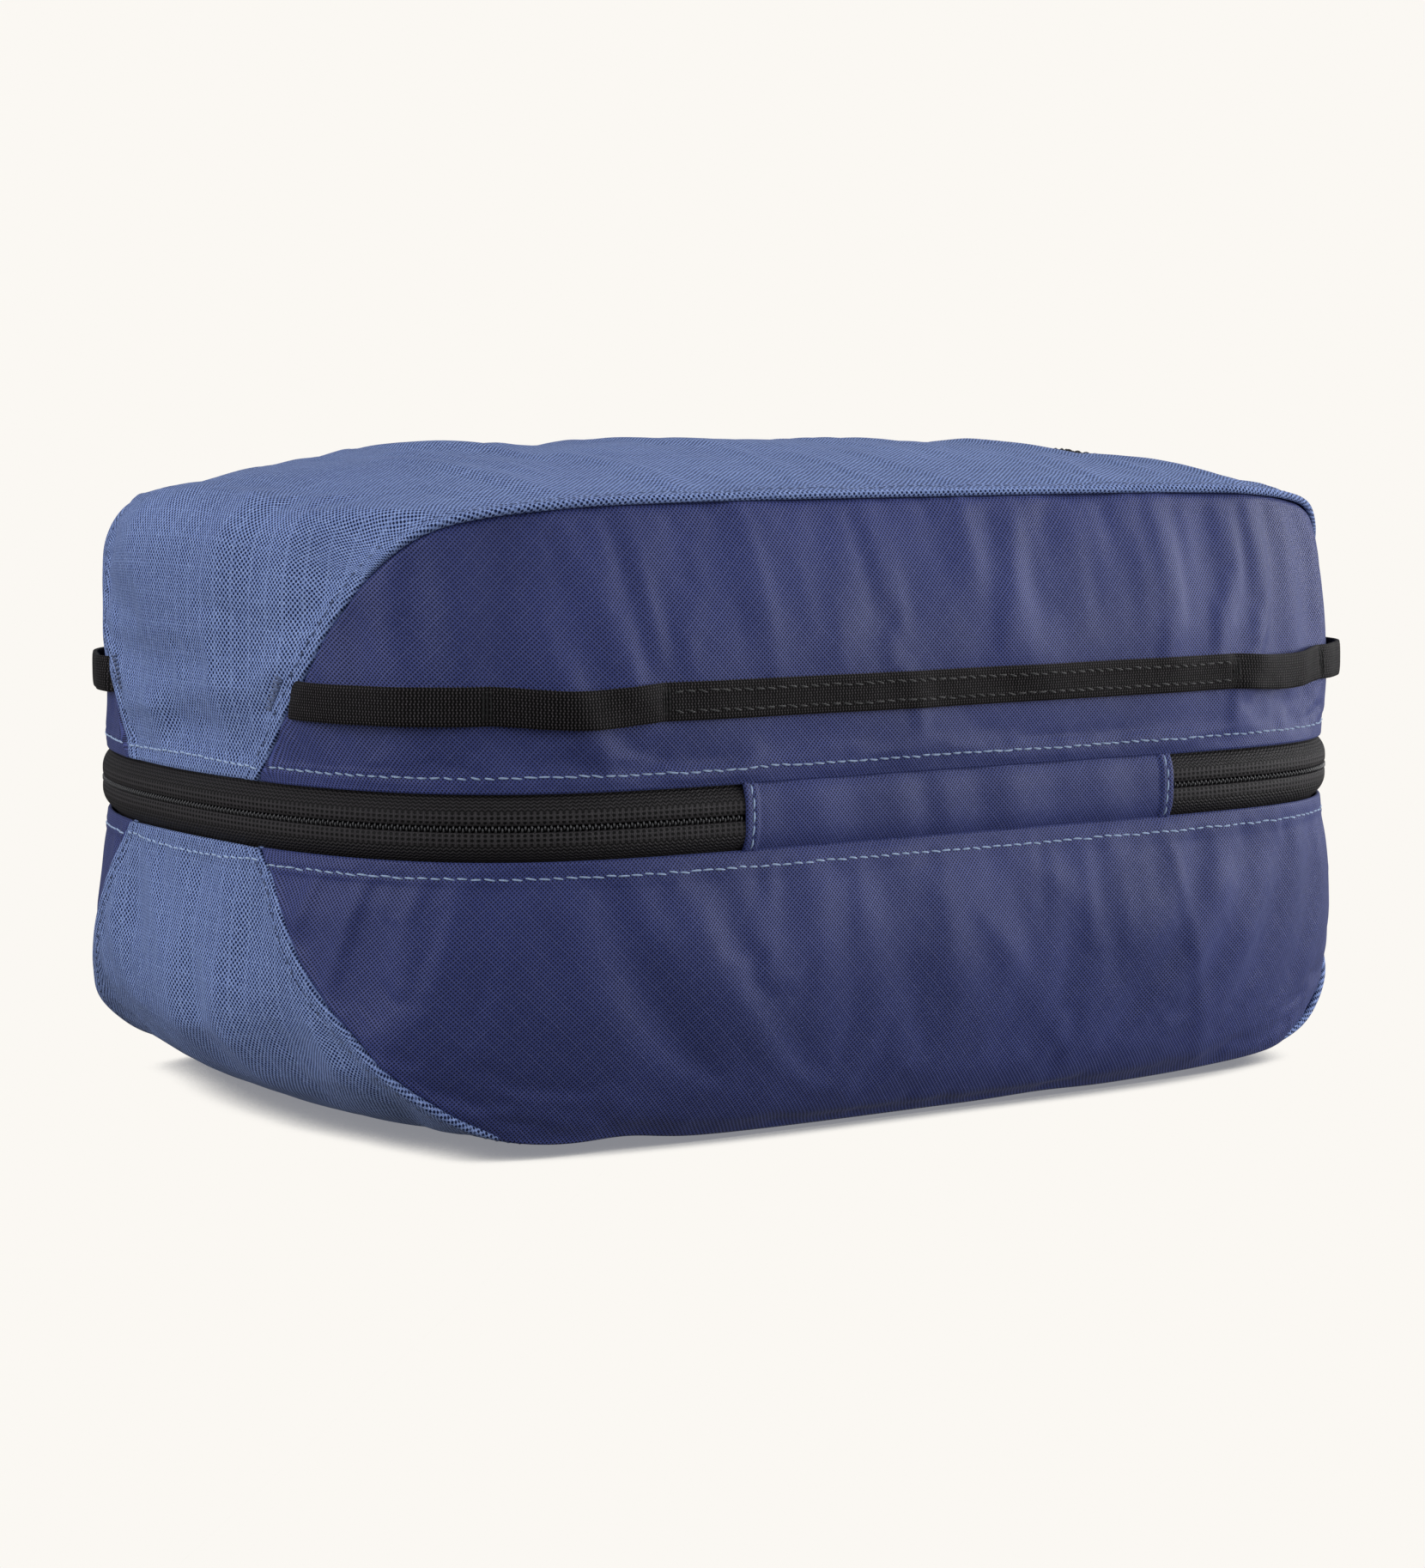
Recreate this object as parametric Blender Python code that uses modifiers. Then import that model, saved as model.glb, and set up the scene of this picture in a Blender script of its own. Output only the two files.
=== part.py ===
# Clamshell packing cube: two deep fabric halves joined by a short fabric
# hinge at the front and a zipper that runs from one end of that hinge, round
# the left end, the back and the right end, to its other end.
#
# Frame: +X along the length, +Y from the hinge side to the back, +Z up.
# Origin: centre of the flat underside. Units: metres.

import math
import bpy
import bmesh
import numpy as np
from mathutils import Vector

# ---------------------------------------------------------------- dimensions
HZ = 0.0690            # height of the zipper's centreline above the underside
A = 0.1400             # half length at the zipper
B = 0.0923             # half depth at the zipper
N_END = 6.2            # exponents of the rounded plan outline
N_SIDE = 2.2
RIM = 0.0073           # half height of the zipper band between the fabric edges
RIM_INSET = 0.0016     # fabric edge sits this far inside the tape's crest
STRIP = 0.0285         # half width of the light strip at the zipper
FABRIC = 0.0012        # panel thickness
GAP = 0.00035          # clearance between touching pieces

GUSSET_HALF = 0.0570   # half length of the fabric hinge
WEB_Z = 0.0245         # webbing centre above the zipper
WEB_W = 0.0080         # webbing width
WEB_T = 0.0012
WEB_TACKS = (0.076, 0.112)
HANDLE_W = 0.0150
HINGE_Y = -0.0975      # fold line of the lid, just in front of the front wall

SLIDER_X = 0.0075      # the two sliders park nose to nose at the back
SLIDER_RUN = 0.050
PULL_LEN = 0.026

DIV_Z = -0.0085        # inner divider, just below the zipper
DIV_ZIP_Y = 0.045
DIV_ZIP_HALF = 0.112
DIV_SLIDER_X = -0.100

# half seam profiles from the middle of the side to the zipper (x, y, z)
SEAM_UP = [(0.0, .0800, .0658), (.030, .0799, .0658), (.054, .0793, .0657), (.084, .0780, .0652),
           (.097, .0760, .0643), (.107, .0730, .0632), (.116, .0695, .0612), (.122, .0655, .0578),
           (.1268, .0610, .0525), (.1298, .0560, .0460), (.1322, .0510, .0395), (.1345, .0460, .0310),
           (.1356, .0390, .0220), (.1362, .0335, .0140), (.1366, .0285, .0073)]
SEAM_LO = [(0.0, .0800, -.0680), (.030, .0800, -.0680), (.054, .0798, -.0678), (.080, .0790, -.0670),
           (.101, .0770, -.0655), (.112, .0745, -.0625), (.120, .0710, -.0580), (.128, .0655, -.0510),
           (.1322, .0590, -.0435), (.1348, .0535, -.0380), (.1368, .0475, -.0310), (.1375, .0410, -.0220),
           (.1368, .0350, -.0130), (.1366, .0285, -.0073)]
# crest of the wrap panels along the middle, from the centre to the zipper
CREST_UP = [(0.0000, 0.0764), (0.0391, 0.0758), (0.0586, 0.0751), (0.0781, 0.0740), (0.0878, 0.0733), (0.0959, 0.0727),
            (0.1041, 0.0720), (0.1121, 0.0713), (0.1205, 0.0700), (0.1282, 0.0676), (0.1349, 0.0632), (0.1396, 0.0564),
            (0.1413, 0.0485), (0.1413, 0.0403), (0.1406, 0.0319), (0.1396, 0.0238), (0.1384, 0.0158), (0.1384, 0.0073)]
CREST_LO = [(0.0000, -0.0704), (0.0382, -0.0703), (0.0573, -0.0701), (0.0763, -0.0700), (0.0859, -0.0697), (0.0938, -0.0693),
            (0.1017, -0.0685), (0.1093, -0.0670), (0.1169, -0.0648), (0.1236, -0.0617), (0.1300, -0.0580), (0.1358, -0.0527),
            (0.1400, -0.0465), (0.1416, -0.0393), (0.1412, -0.0312), (0.1399, -0.0234), (0.1386, -0.0156), (0.1384, -0.0073)]

# ------------------------------------------------------------------- scene
for ob in list(bpy.data.objects):
    bpy.data.objects.remove(ob, do_unlink=True)

PARTS = bpy.data.collections.new("packing_cube")
bpy.context.scene.collection.children.link(PARTS)
CUTTERS = bpy.data.collections.new("cutters")
bpy.context.scene.collection.children.link(CUTTERS)


def material(name, colour, roughness, metallic=0.0):
    m = bpy.data.materials.new(name)
    m.use_nodes = True
    p = m.node_tree.nodes["Principled BSDF"]
    p.inputs["Base Color"].default_value = (*colour, 1.0)
    p.inputs["Roughness"].default_value = roughness
    p.inputs["Metallic"].default_value = metallic
    return m


LIGHT = (0.085, 0.145, 0.36)
DARK = (0.045, 0.065, 0.20)
BLACK = (0.012, 0.012, 0.014)

# ----------------------------------------------------------- curve helpers


def resample(points, n):
    """Points at even arc length on a smooth curve through the given ones."""
    p = np.array(points, float)
    d = np.r_[0.0, np.cumsum(np.linalg.norm(np.diff(p, axis=0), axis=1))]
    fine = []
    for k in range(len(p) - 1):
        a, b = p[max(k - 1, 0)], p[k]
        c, e = p[k + 1], p[min(k + 2, len(p) - 1)]
        h = d[k + 1] - d[k]
        m0 = (c - a) / max(d[k + 1] - d[max(k - 1, 0)], 1e-9) * h
        m1 = (e - b) / max(d[min(k + 2, len(p) - 1)] - d[k], 1e-9) * h
        for t in np.linspace(0, 1, 12, endpoint=False):
            fine.append((2*t**3 - 3*t*t + 1)*b + (t**3 - 2*t*t + t)*m0
                        + (-2*t**3 + 3*t*t)*c + (t**3 - t*t)*m1)
    fine.append(p[-1])
    fine = np.array(fine)
    s = np.r_[0.0, np.cumsum(np.linalg.norm(np.diff(fine, axis=0), axis=1))]
    q = np.linspace(0, s[-1], n)
    return np.stack([np.interp(q, s, fine[:, j]) for j in range(fine.shape[1])], -1)


class Lookup:
    """Position on a resampled curve as a function of the arc length fraction."""

    def __init__(self, pts):
        self.p = np.asarray(pts)
        self.f = np.linspace(0, 1, len(self.p))

    def __call__(self, f):
        return np.array([np.interp(f, self.f, self.p[:, j]) for j in range(self.p.shape[1])])


def quarter_outline():
    tau = np.linspace(0, math.pi / 2, 2001)
    return np.stack([A * np.sin(tau) ** (2 / N_END), B * np.cos(tau) ** (2 / N_SIDE)], -1)


_q = quarter_outline()
_loop = np.concatenate([                       # front middle, right, back, left
    _q * [1, -1], _q[::-1][1:] * [1, 1], _q[1:] * [-1, 1], _q[::-1][1:] * [-1, -1]])
_s = np.r_[0.0, np.cumsum(np.linalg.norm(np.diff(_loop, axis=0), axis=1))]
GIRTH = _s[-1]
_even = np.stack([np.interp(np.linspace(0, GIRTH, 1601), _s, _loop[:, j]) for j in (0, 1)], -1)
_es = np.linspace(0, GIRTH, 1601)
_tan = np.roll(_even[:-1], -4, 0) - np.roll(_even[:-1], 4, 0)
_tan = np.concatenate([_tan, _tan[:1]])
_tan /= np.linalg.norm(_tan, axis=1)[:, None]


def outline(length, inset=0.0):
    """Plan point and outward normal, by distance from the front middle."""
    length = length % GIRTH
    p = np.array([np.interp(length, _es, _even[:, j]) for j in (0, 1)])
    t = np.array([np.interp(length, _es, _tan[:, j]) for j in (0, 1)])
    n = np.array([t[1], -t[0]])
    n /= np.linalg.norm(n)
    return p - n * inset, n


def length_at_y(y):
    """Distance from the front middle to the right-hand point at depth y (y < 0)."""
    k = _es <= GIRTH / 4
    return float(np.interp(y, _even[k][:, 1], _es[k]))


EDGE_LEN = length_at_y(-STRIP)                 # front edge half length of a side panel

SEAMS = {1: Lookup(resample(SEAM_UP, 240)), -1: Lookup(resample(SEAM_LO, 240))}
CRESTS = {1: Lookup(resample(CREST_UP, 240)), -1: Lookup(resample(CREST_LO, 240))}
BULGE = {1: 0.0072, -1: 0.0088}


def seam(half, side, s):
    """Seam point; half +1 upper, -1 lower; side -1 front, +1 back; s in -1..1."""
    x, y, z = SEAMS[half](abs(s))
    return np.array([math.copysign(x, s), side * y, z])


def side_panel(half, side, s, t):
    """Outer face of a dark side panel; t runs from the zipper edge to the seam."""
    p, n = outline(math.copysign(EDGE_LEN * abs(s), s), RIM_INSET)
    e = np.array([p[0], p[1] * (-side), half * RIM])
    nn = np.array([n[0], n[1] * (-side), 0.0])
    c = seam(half, side, s)
    h = np.linalg.norm(c - e)
    q = min(max((abs(s) - 0.30) / 0.32, 0.0), 1.0)
    b = BULGE[half] * min(1.0, h / 0.058) ** 1.2 * (1 - 0.72 * q * q * (3 - 2 * q))
    return (1 - t) * e + t * c + nn * b * 4 * t * (1 - t)


def wrap_panel(half, s, t):
    """Outer face of a light wrap panel; t runs from the front seam to the back."""
    f = seam(half, -1, s)
    cx, cz = CRESTS[half](abs(s))
    v = 2 * t - 1
    k = max(1 - v * v, 0.0) ** 1.2
    x = abs(f[0]) + (cx - abs(f[0])) * k
    z = f[2] + (cz - f[2]) * k
    if half < 0:
        z = max(z, -HZ)
    return np.array([math.copysign(x, s) if s else 0.0, v * (-f[1]), z])


# ----------------------------------------------------------- object helpers


def add(name, mesh, mat, parent=None, origin=None):
    ob = bpy.data.objects.new(name, mesh)
    PARTS.objects.link(ob)
    mesh.materials.append(mat)
    if origin is not None:
        o = Vector(origin)
        for v in mesh.vertices:
            v.co -= o
        ob.location = o
    if parent is not None:
        ob.parent = parent
        ob.matrix_parent_inverse = parent.matrix_world.inverted()
    return ob


def solidify(ob, thickness, offset=-1.0):
    m = ob.modifiers.new("thickness", "SOLIDIFY")
    m.thickness = thickness
    m.offset = offset
    m.use_even_offset = True
    m.use_quality_normals = True
    return m


def surface(name, fn, nu, nv, mat, thickness, outward, parent=None, origin=None):
    """A grid primitive laid onto fn(u, v), then given its thickness inward."""
    me = bpy.data.meshes.new(name)
    bm = bmesh.new()
    bmesh.ops.create_grid(bm, x_segments=nu, y_segments=nv, size=0.5)
    for v in bm.verts:
        v.co = Vector(fn(v.co.x + 0.5, v.co.y + 0.5)) + Vector((0, 0, HZ))
    bm.normal_update()
    score = sum(f.normal.dot(outward(f.calc_center_median())) * f.calc_area() for f in bm.faces)
    if score < 0:
        bmesh.ops.reverse_faces(bm, faces=bm.faces)
    bm.to_mesh(me)
    bm.free()
    me.shade_smooth()
    ob = add(name, me, mat, parent, origin)
    solidify(ob, thickness)
    return ob


def from_centre(c):
    return c - Vector((0, 0, HZ))


def tube(name, pts, radius, mat, parent=None, closed=False, resolution=1):
    """A round cord as a poly curve with filled caps."""
    cu = bpy.data.curves.new(name, "CURVE")
    cu.dimensions = "3D"
    cu.bevel_depth = radius
    cu.bevel_resolution = resolution
    cu.use_fill_caps = not closed
    sp = cu.splines.new("POLY")
    sp.points.add(len(pts) - 1)
    for k, p in enumerate(pts):
        sp.points[k].co = (p[0], p[1], p[2] + HZ, 1.0)
    sp.use_cyclic_u = closed
    ob = bpy.data.objects.new(name, cu)
    PARTS.objects.link(ob)
    cu.materials.append(mat)
    if parent is not None:
        ob.parent = parent
        ob.matrix_parent_inverse = parent.matrix_world.inverted()
    return ob


def block(name, lo, hi, mat=None, parent=None, origin=None, cutter=False):
    """A box between two corners, relative to the zipper plane."""
    me = bpy.data.meshes.new(name)
    bm = bmesh.new()
    bmesh.ops.create_cube(bm, size=1.0)
    for v in bm.verts:
        v.co = Vector([(l + h) / 2 + c * (h - l) for l, h, c in zip(lo, hi, v.co)]) + Vector((0, 0, HZ))
    bm.to_mesh(me)
    bm.free()
    if cutter:
        ob = bpy.data.objects.new(name, me)
        CUTTERS.objects.link(ob)
        ob.hide_render = True
        ob.display_type = "WIRE"
        return ob
    return add(name, me, mat, parent, origin)


def cylinder(name, centre, axis, radius, length, cutter=True, segments=16):
    me = bpy.data.meshes.new(name)
    bm = bmesh.new()
    bmesh.ops.create_cone(bm, cap_ends=True, segments=segments, radius1=radius, radius2=radius, depth=length)
    q = Vector((0, 0, 1)).rotation_difference(Vector(axis))
    for v in bm.verts:
        v.co = q @ v.co + Vector(centre) + Vector((0, 0, HZ))
    bm.to_mesh(me)
    bm.free()
    ob = bpy.data.objects.new(name, me)
    (CUTTERS if cutter else PARTS).objects.link(ob)
    if cutter:
        ob.hide_render = True
        ob.display_type = "WIRE"
    return ob


def boolean(ob, other, op):
    m = ob.modifiers.new(op.lower(), "BOOLEAN")
    m.operation = op
    m.object = other
    m.solver = "EXACT"
    return m


def empty(name, loc, parent=None):
    e = bpy.data.objects.new(name, None)
    PARTS.objects.link(e)
    e.location = loc
    bpy.context.view_layer.update()
    if parent is not None:
        e.parent = parent
        e.matrix_parent_inverse = parent.matrix_world.inverted()
        bpy.context.view_layer.update()
    return e


M_LIGHT = material("wrap_fabric", LIGHT, 0.85)
M_DARK = material("side_fabric", DARK, 0.6)
M_TAPE = material("zipper_tape", BLACK, 0.9)
M_COIL = material("zipper_coil", (0.02, 0.02, 0.022), 0.45)
M_WEB = material("webbing", (0.018, 0.018, 0.02), 0.9)
M_BIND = material("binding", (0.02, 0.022, 0.03), 0.9)
M_METAL = material("slider_metal", (0.03, 0.03, 0.033), 0.4, 0.9)
M_MESH = material("divider_mesh", (0.03, 0.035, 0.06), 0.9)

LID = empty("lid_fold_line", (0, HINGE_Y, HZ))

# ------------------------------------------------------------ fabric panels
S_END = 0.985                                   # side panels stop short of the zipper corner
SEAM_BACK = 0.0005                              # side panel edge to seam line
WRAP_BACK = 0.0019                              # wrap panel edge to seam line


def side_fn(half, side):
    def fn(u, v):
        s = (2 * u - 1) * S_END
        e, c = side_panel(half, side, s, 0.0), seam(half, side, s)
        top = 1 - SEAM_BACK / max(np.linalg.norm(c - e), 0.002)
        return side_panel(half, side, s, v * top)
    return fn


def wrap_fn(half):
    def fn(u, v):
        # closer stations round the end corners
        s = 2 * u - 1
        s = math.copysign(abs(s) ** 0.92, s) if s else 0.0
        w = 2 * abs(seam(half, -1, s)[1])
        t0 = WRAP_BACK / w
        return wrap_panel(half, s, t0 + v * (1 - 2 * t0))
    return fn


surface("upper_wrap_panel", wrap_fn(1), 26, 8, M_LIGHT, FABRIC, from_centre, LID)
surface("upper_front_panel", side_fn(1, -1), 24, 5, M_DARK, FABRIC, from_centre, LID)
surface("upper_back_panel", side_fn(1, 1), 24, 5, M_DARK, FABRIC, from_centre, LID)
surface("lower_wrap_panel", wrap_fn(-1), 26, 8, M_LIGHT, FABRIC, from_centre)
surface("lower_front_panel", side_fn(-1, -1), 24, 5, M_DARK, FABRIC, from_centre)
surface("lower_back_panel", side_fn(-1, 1), 24, 5, M_DARK, FABRIC, from_centre)

# ------------------------------------------------ seam bindings, inside edge


def inward_normal(fn, s, t, half):
    """Unit normal of the surface fn(s, t), pointing into the bag."""
    a = fn(min(s + 0.01, 0.999), t) - fn(max(s - 0.01, -0.999), t)
    b = fn(s, min(t + 0.02, 1.0)) - fn(s, max(t - 0.02, 0.0))
    n = np.cross(a, b)
    n /= np.linalg.norm(n)
    return n if n @ (np.array([0.0, 0.0, half * 0.03]) - fn(s, t)) > 0 else -n


def binding_points(half, side):
    pts = []
    for s in np.linspace(-0.90, 0.90, 27):
        p = seam(half, side, s)
        n1 = inward_normal(lambda a, b: side_panel(half, side, a, b), s, 0.95, half)
        n2 = inward_normal(lambda a, b: wrap_panel(half, a, b), s, 0.04 if side < 0 else 0.96, half)
        d = n1 + n2
        d /= np.linalg.norm(d)
        pts.append(p + d * (0.0036 / min(d @ n1, d @ n2)))
    return pts


for half, hn, par in ((1, "upper", LID), (-1, "lower", None)):
    for side, sn in ((-1, "front"), (1, "back")):
        tube(f"{hn}_{sn}_seam_binding", binding_points(half, side), 0.0011, M_BIND, par)

# ------------------------------------------------------------------- zipper
L0 = float(_es[np.argmin(np.abs(_even[:400, 0] - GUSSET_HALF))]) + 0.0004
L1 = GIRTH - L0
TAPE_T = 0.0007
TAPE_SECTION = [(0.0003, 0.0008), (0.0008, 0.0042), (0.0038, 0.0067), (0.0040, 0.0125)]


def tape_fn(half):
    q = Lookup(TAPE_SECTION)

    def fn(u, v):
        inset, z = q(v)
        p, _n = outline(L0 + (L1 - L0) * u, inset)
        return (p[0], p[1], half * z)
    return fn


surface("upper_zipper_tape", tape_fn(1), 52, 3, M_TAPE, TAPE_T, from_centre, LID)
surface("lower_zipper_tape", tape_fn(-1), 52, 3, M_TAPE, TAPE_T, from_centre)


def coil_points(half):
    pts = []
    for ln in np.linspace(L0 + 0.0005, L1 - 0.0005, 58):
        p, _n = outline(ln, 0.0026)
        pts.append((p[0], p[1], half * 0.00165))
    return pts


tube("upper_zipper_coil", coil_points(1), 0.00085, M_COIL, LID)
tube("lower_zipper_coil", coil_points(-1), 0.00085, M_COIL)

# the fabric hinge between the two ends of the zipper


def gusset_fn(u, v):
    p, _n = outline((2 * u - 1) * (L0 - 0.0009), 0.0005)
    return (p[0], p[1], (2 * v - 1) * 0.0068)


surface("hinge_gusset", gusset_fn, 10, 2, M_DARK, 0.0010, from_centre)

# ------------------------------------------------------------------ sliders


def slider(name, x0, mat, parent=None):
    """Two plates joined by a post, with lugs and a pin for the pull."""
    y = B
    body = block(name, (x0 - .0045, y + GAP, -.0050), (x0 + .0045, y + .0017, .0050), mat, parent,
                 origin=(x0, y, HZ))
    bv = body.modifiers.new("round", "BEVEL")
    bv.width = 0.0005
    bv.segments = 1
    post = block(name + "_post", (x0 - .0028, y - .0046, -.00045), (x0 + .0028, y + .0010, .00045), cutter=True)
    inner = block(name + "_inner", (x0 - .0042, y - .0052, -.0042), (x0 + .0042, y - .0040, .0042), cutter=True)
    boolean(inner, post, "UNION")
    boolean(body, inner, "UNION")
    for k in (-1, 1):
        z = k * 0.0022
        lug = block(f"{name}_lug{k}", (x0 - .0012, y + .0012, z - .00045), (x0 + .0012, y + .0044, z + .00045),
                    cutter=True)
        boolean(body, lug, "UNION")
    pin = cylinder(name + "_pin", (x0, y + .0033, 0), (0, 0, 1), 0.00055, 0.0048, segments=12)
    boolean(body, pin, "UNION")
    return body


def pull(name, x0, direction, mat, parent=None):
    """A flat tab with an eye that turns on the slider's pin."""
    y = B + 0.0033
    tab_lo, tab_hi = sorted((x0 + direction * 0.0035, x0 + direction * PULL_LEN))
    ob = block(name, (tab_lo, y - .0006, -.0026), (tab_hi, y + .0006, .0026), mat, parent, origin=(x0, y, HZ))
    bv = ob.modifiers.new("round", "BEVEL")
    bv.width = 0.0004
    bv.segments = 1
    n_lo, n_hi = sorted((x0 + direction * 0.0004, x0 + direction * 0.0045))
    neck = block(name + "_neck", (n_lo, y - .0005, -.0013), (n_hi, y + .0005, .0013), cutter=True)
    eye = cylinder(name + "_eye", (x0, y, 0), (0, 0, 1), 0.0015, 0.0027)
    hole = cylinder(name + "_hole", (x0, y, 0), (0, 0, 1), 0.00095, 0.02, segments=16)
    boolean(ob, neck, "UNION")
    boolean(ob, eye, "UNION")
    boolean(ob, hole, "DIFFERENCE")
    grip = cylinder(name + "_grip", (x0 + direction * (PULL_LEN - 0.0035), y, 0), (0, 1, 0), 0.0012, 0.01, segments=12)
    boolean(ob, grip, "DIFFERENCE")
    return ob


LEFT = empty("left_slider_track", (-SLIDER_X, B, HZ))
RIGHT = empty("right_slider_track", (SLIDER_X, B, HZ))
slider("left_slider", -SLIDER_X, M_METAL, LEFT)
pull("left_pull", -SLIDER_X, -1, M_METAL, LEFT)
slider("right_slider", SLIDER_X, M_METAL, RIGHT)
pull("right_pull", SLIDER_X, 1, M_METAL, RIGHT)

# ------------------------------------------------------------------ webbing
WEB_END = EDGE_LEN * 0.865                      # ends meet the seam on the end wall


def wall_offset(side, ln):
    """How far the side panel's face stands outside the outline at webbing height."""
    s = ln / EDGE_LEN
    p, n = outline(ln, 0.0)
    best = -0.003
    for t in np.linspace(0, 1, 41):
        q = side_panel(1, -1, s, t)
        if abs(q[2] - WEB_Z) < WEB_W / 2 + 0.002:
            best = max(best, (q[0] - p[0]) * n[0] + (q[1] - p[1]) * n[1])
    return best


_tack_len = [float(np.interp(t, _even[:400, 0], _es[:400])) for t in WEB_TACKS]


def slack(ln):
    """Height of the webbing's loops above the panel."""
    a = abs(ln)
    for lo, hi, h in ((_tack_len[0], _tack_len[1], 0.0024), (_tack_len[1], WEB_END, 0.0026)):
        if lo < a < hi:
            return h * math.sin(math.pi * (a - lo) / (hi - lo)) ** 2
    return 0.0


def web_fn(side):
    base = {}

    def fn(u, v):
        ln = (2 * u - 1) * WEB_END
        if u not in base:
            base[u] = wall_offset(side, abs(ln))
        p, n = outline(ln, 0.0)
        off = base[u] + GAP + 0.0008 + WEB_T + slack(ln)
        q = p + n * off
        return (q[0], q[1] * (-side), WEB_Z + (v - 0.5) * WEB_W)
    return fn


surface("front_webbing", web_fn(-1), 44, 1, M_WEB, WEB_T, from_centre, LID)
surface("back_webbing", web_fn(1), 44, 1, M_WEB, WEB_T, from_centre, LID)

# grab handle: flat over the top edge of the right end, slack on the end wall
HANDLE = resample([(.0845, .0764), (.096, .0755), (.108, .0743), (.120, .0727), (.1290, .0702), (.1375, .0660),
                   (.1448, .0605), (.1492, .0540), (.1508, .0470), (.1498, .0400), (.1468, .0340),
                   (.1436, .0300), (.1431, .0250), (.1428, .0205)], 24)


def handle_fn(u, v):
    x, z = Lookup(HANDLE)(u)
    return (x, (v - 0.5) * HANDLE_W, z)


surface("end_grab_handle", handle_fn, 22, 1, M_WEB, WEB_T, from_centre, LID)

# ------------------------------------------------------------------ divider
DI = 0.0076                                     # divider edge inside the outline


_rim = np.array([outline(ln, DI)[0] for ln in np.linspace(0, GIRTH / 4, 300)])
DIV_A = float(_rim[:, 0].max())


def div_y(x):
    return float(-np.interp(abs(x), _rim[:, 0], _rim[:, 1]))


def div_mesh_fn(u, v):
    x = (2 * u - 1) * DIV_A * 0.985
    hi = min(DIV_ZIP_Y - 0.0042, div_y(x))
    return (x, -div_y(x) + v * (hi + div_y(x)), DIV_Z)


def div_strip_fn(u, v):
    x = (2 * u - 1) * DIV_A * 0.925
    lo = DIV_ZIP_Y + 0.0042
    return (x, lo + v * (max(div_y(x), lo + 0.0015) - lo), DIV_Z)


def up(_c):
    return Vector((0, 0, 1))


surface("divider_mesh_panel", div_mesh_fn, 22, 2, M_MESH, 0.0008, up)
surface("divider_rear_strip", div_strip_fn, 20, 1, M_DARK, 0.0008, up)


def rim_points():
    pts = []
    for ln in np.linspace(0, GIRTH, 61)[:-1]:
        p, _n = outline(ln, 0.0062)
        pts.append((p[0], p[1], DIV_Z - 0.0004))
    return pts


tube("divider_rim_binding", rim_points(), 0.0010, M_BIND, closed=True)
for k, nm in ((-1, "front"), (1, "rear")):
    y0, y1 = sorted((DIV_ZIP_Y + k * 0.0008, DIV_ZIP_Y + k * 0.0085))
    block(f"divider_{nm}_tape", (-DIV_ZIP_HALF, y0, DIV_Z + GAP), (DIV_ZIP_HALF, y1, DIV_Z + GAP + .0006), M_TAPE)

DTRACK = empty("divider_slider_track", (DIV_SLIDER_X, DIV_ZIP_Y, HZ + DIV_Z))
zt = DIV_Z + GAP + 0.0006
ds = block("divider_slider", (DIV_SLIDER_X - .004, DIV_ZIP_Y - .0036, zt + GAP),
           (DIV_SLIDER_X + .004, DIV_ZIP_Y + .0036, zt + GAP + .0012), M_METAL, DTRACK,
           origin=(DIV_SLIDER_X, DIV_ZIP_Y, HZ + DIV_Z))
dpost = block("divider_slider_post", (DIV_SLIDER_X - .0024, DIV_ZIP_Y - .00045, DIV_Z - .0014),
              (DIV_SLIDER_X + .0024, DIV_ZIP_Y + .00045, zt + GAP + .0006), cutter=True)
dinner = block("divider_slider_inner", (DIV_SLIDER_X - .0036, DIV_ZIP_Y - .0033, DIV_Z - .0018),
               (DIV_SLIDER_X + .0036, DIV_ZIP_Y + .0033, DIV_Z - .0008), cutter=True)
boolean(dinner, dpost, "UNION")
boolean(ds, dinner, "UNION")
zp = zt + GAP + 0.0028
for k in (-1, 1):
    lug = block(f"divider_lug{k}", (DIV_SLIDER_X - .0011, DIV_ZIP_Y + k * .0022 - .00045, zt + GAP + .0008),
                (DIV_SLIDER_X + .0011, DIV_ZIP_Y + k * .0022 + .00045, zp + .0010), cutter=True)
    boolean(ds, lug, "UNION")
dpin = cylinder("divider_pin", (DIV_SLIDER_X, DIV_ZIP_Y, zp), (0, 1, 0), 0.00055, 0.0048, segments=12)
boolean(ds, dpin, "UNION")
dp = block("divider_pull", (DIV_SLIDER_X + .0035, DIV_ZIP_Y - .0023, zp - .0005),
           (DIV_SLIDER_X + .022, DIV_ZIP_Y + .0023, zp + .0005), M_METAL, DTRACK,
           origin=(DIV_SLIDER_X, DIV_ZIP_Y, HZ + zp))
dneck = block("divider_pull_neck", (DIV_SLIDER_X + .0004, DIV_ZIP_Y - .0012, zp - .0004),
              (DIV_SLIDER_X + .0045, DIV_ZIP_Y + .0012, zp + .0004), cutter=True)
deye = cylinder("divider_pull_eye", (DIV_SLIDER_X, DIV_ZIP_Y, zp), (0, 1, 0), 0.0014, 0.0026)
dhole = cylinder("divider_pull_hole", (DIV_SLIDER_X, DIV_ZIP_Y, zp), (0, 1, 0), 0.00092, 0.02)
boolean(dp, dneck, "UNION")
boolean(dp, deye, "UNION")
boolean(dp, dhole, "DIFFERENCE")
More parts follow.
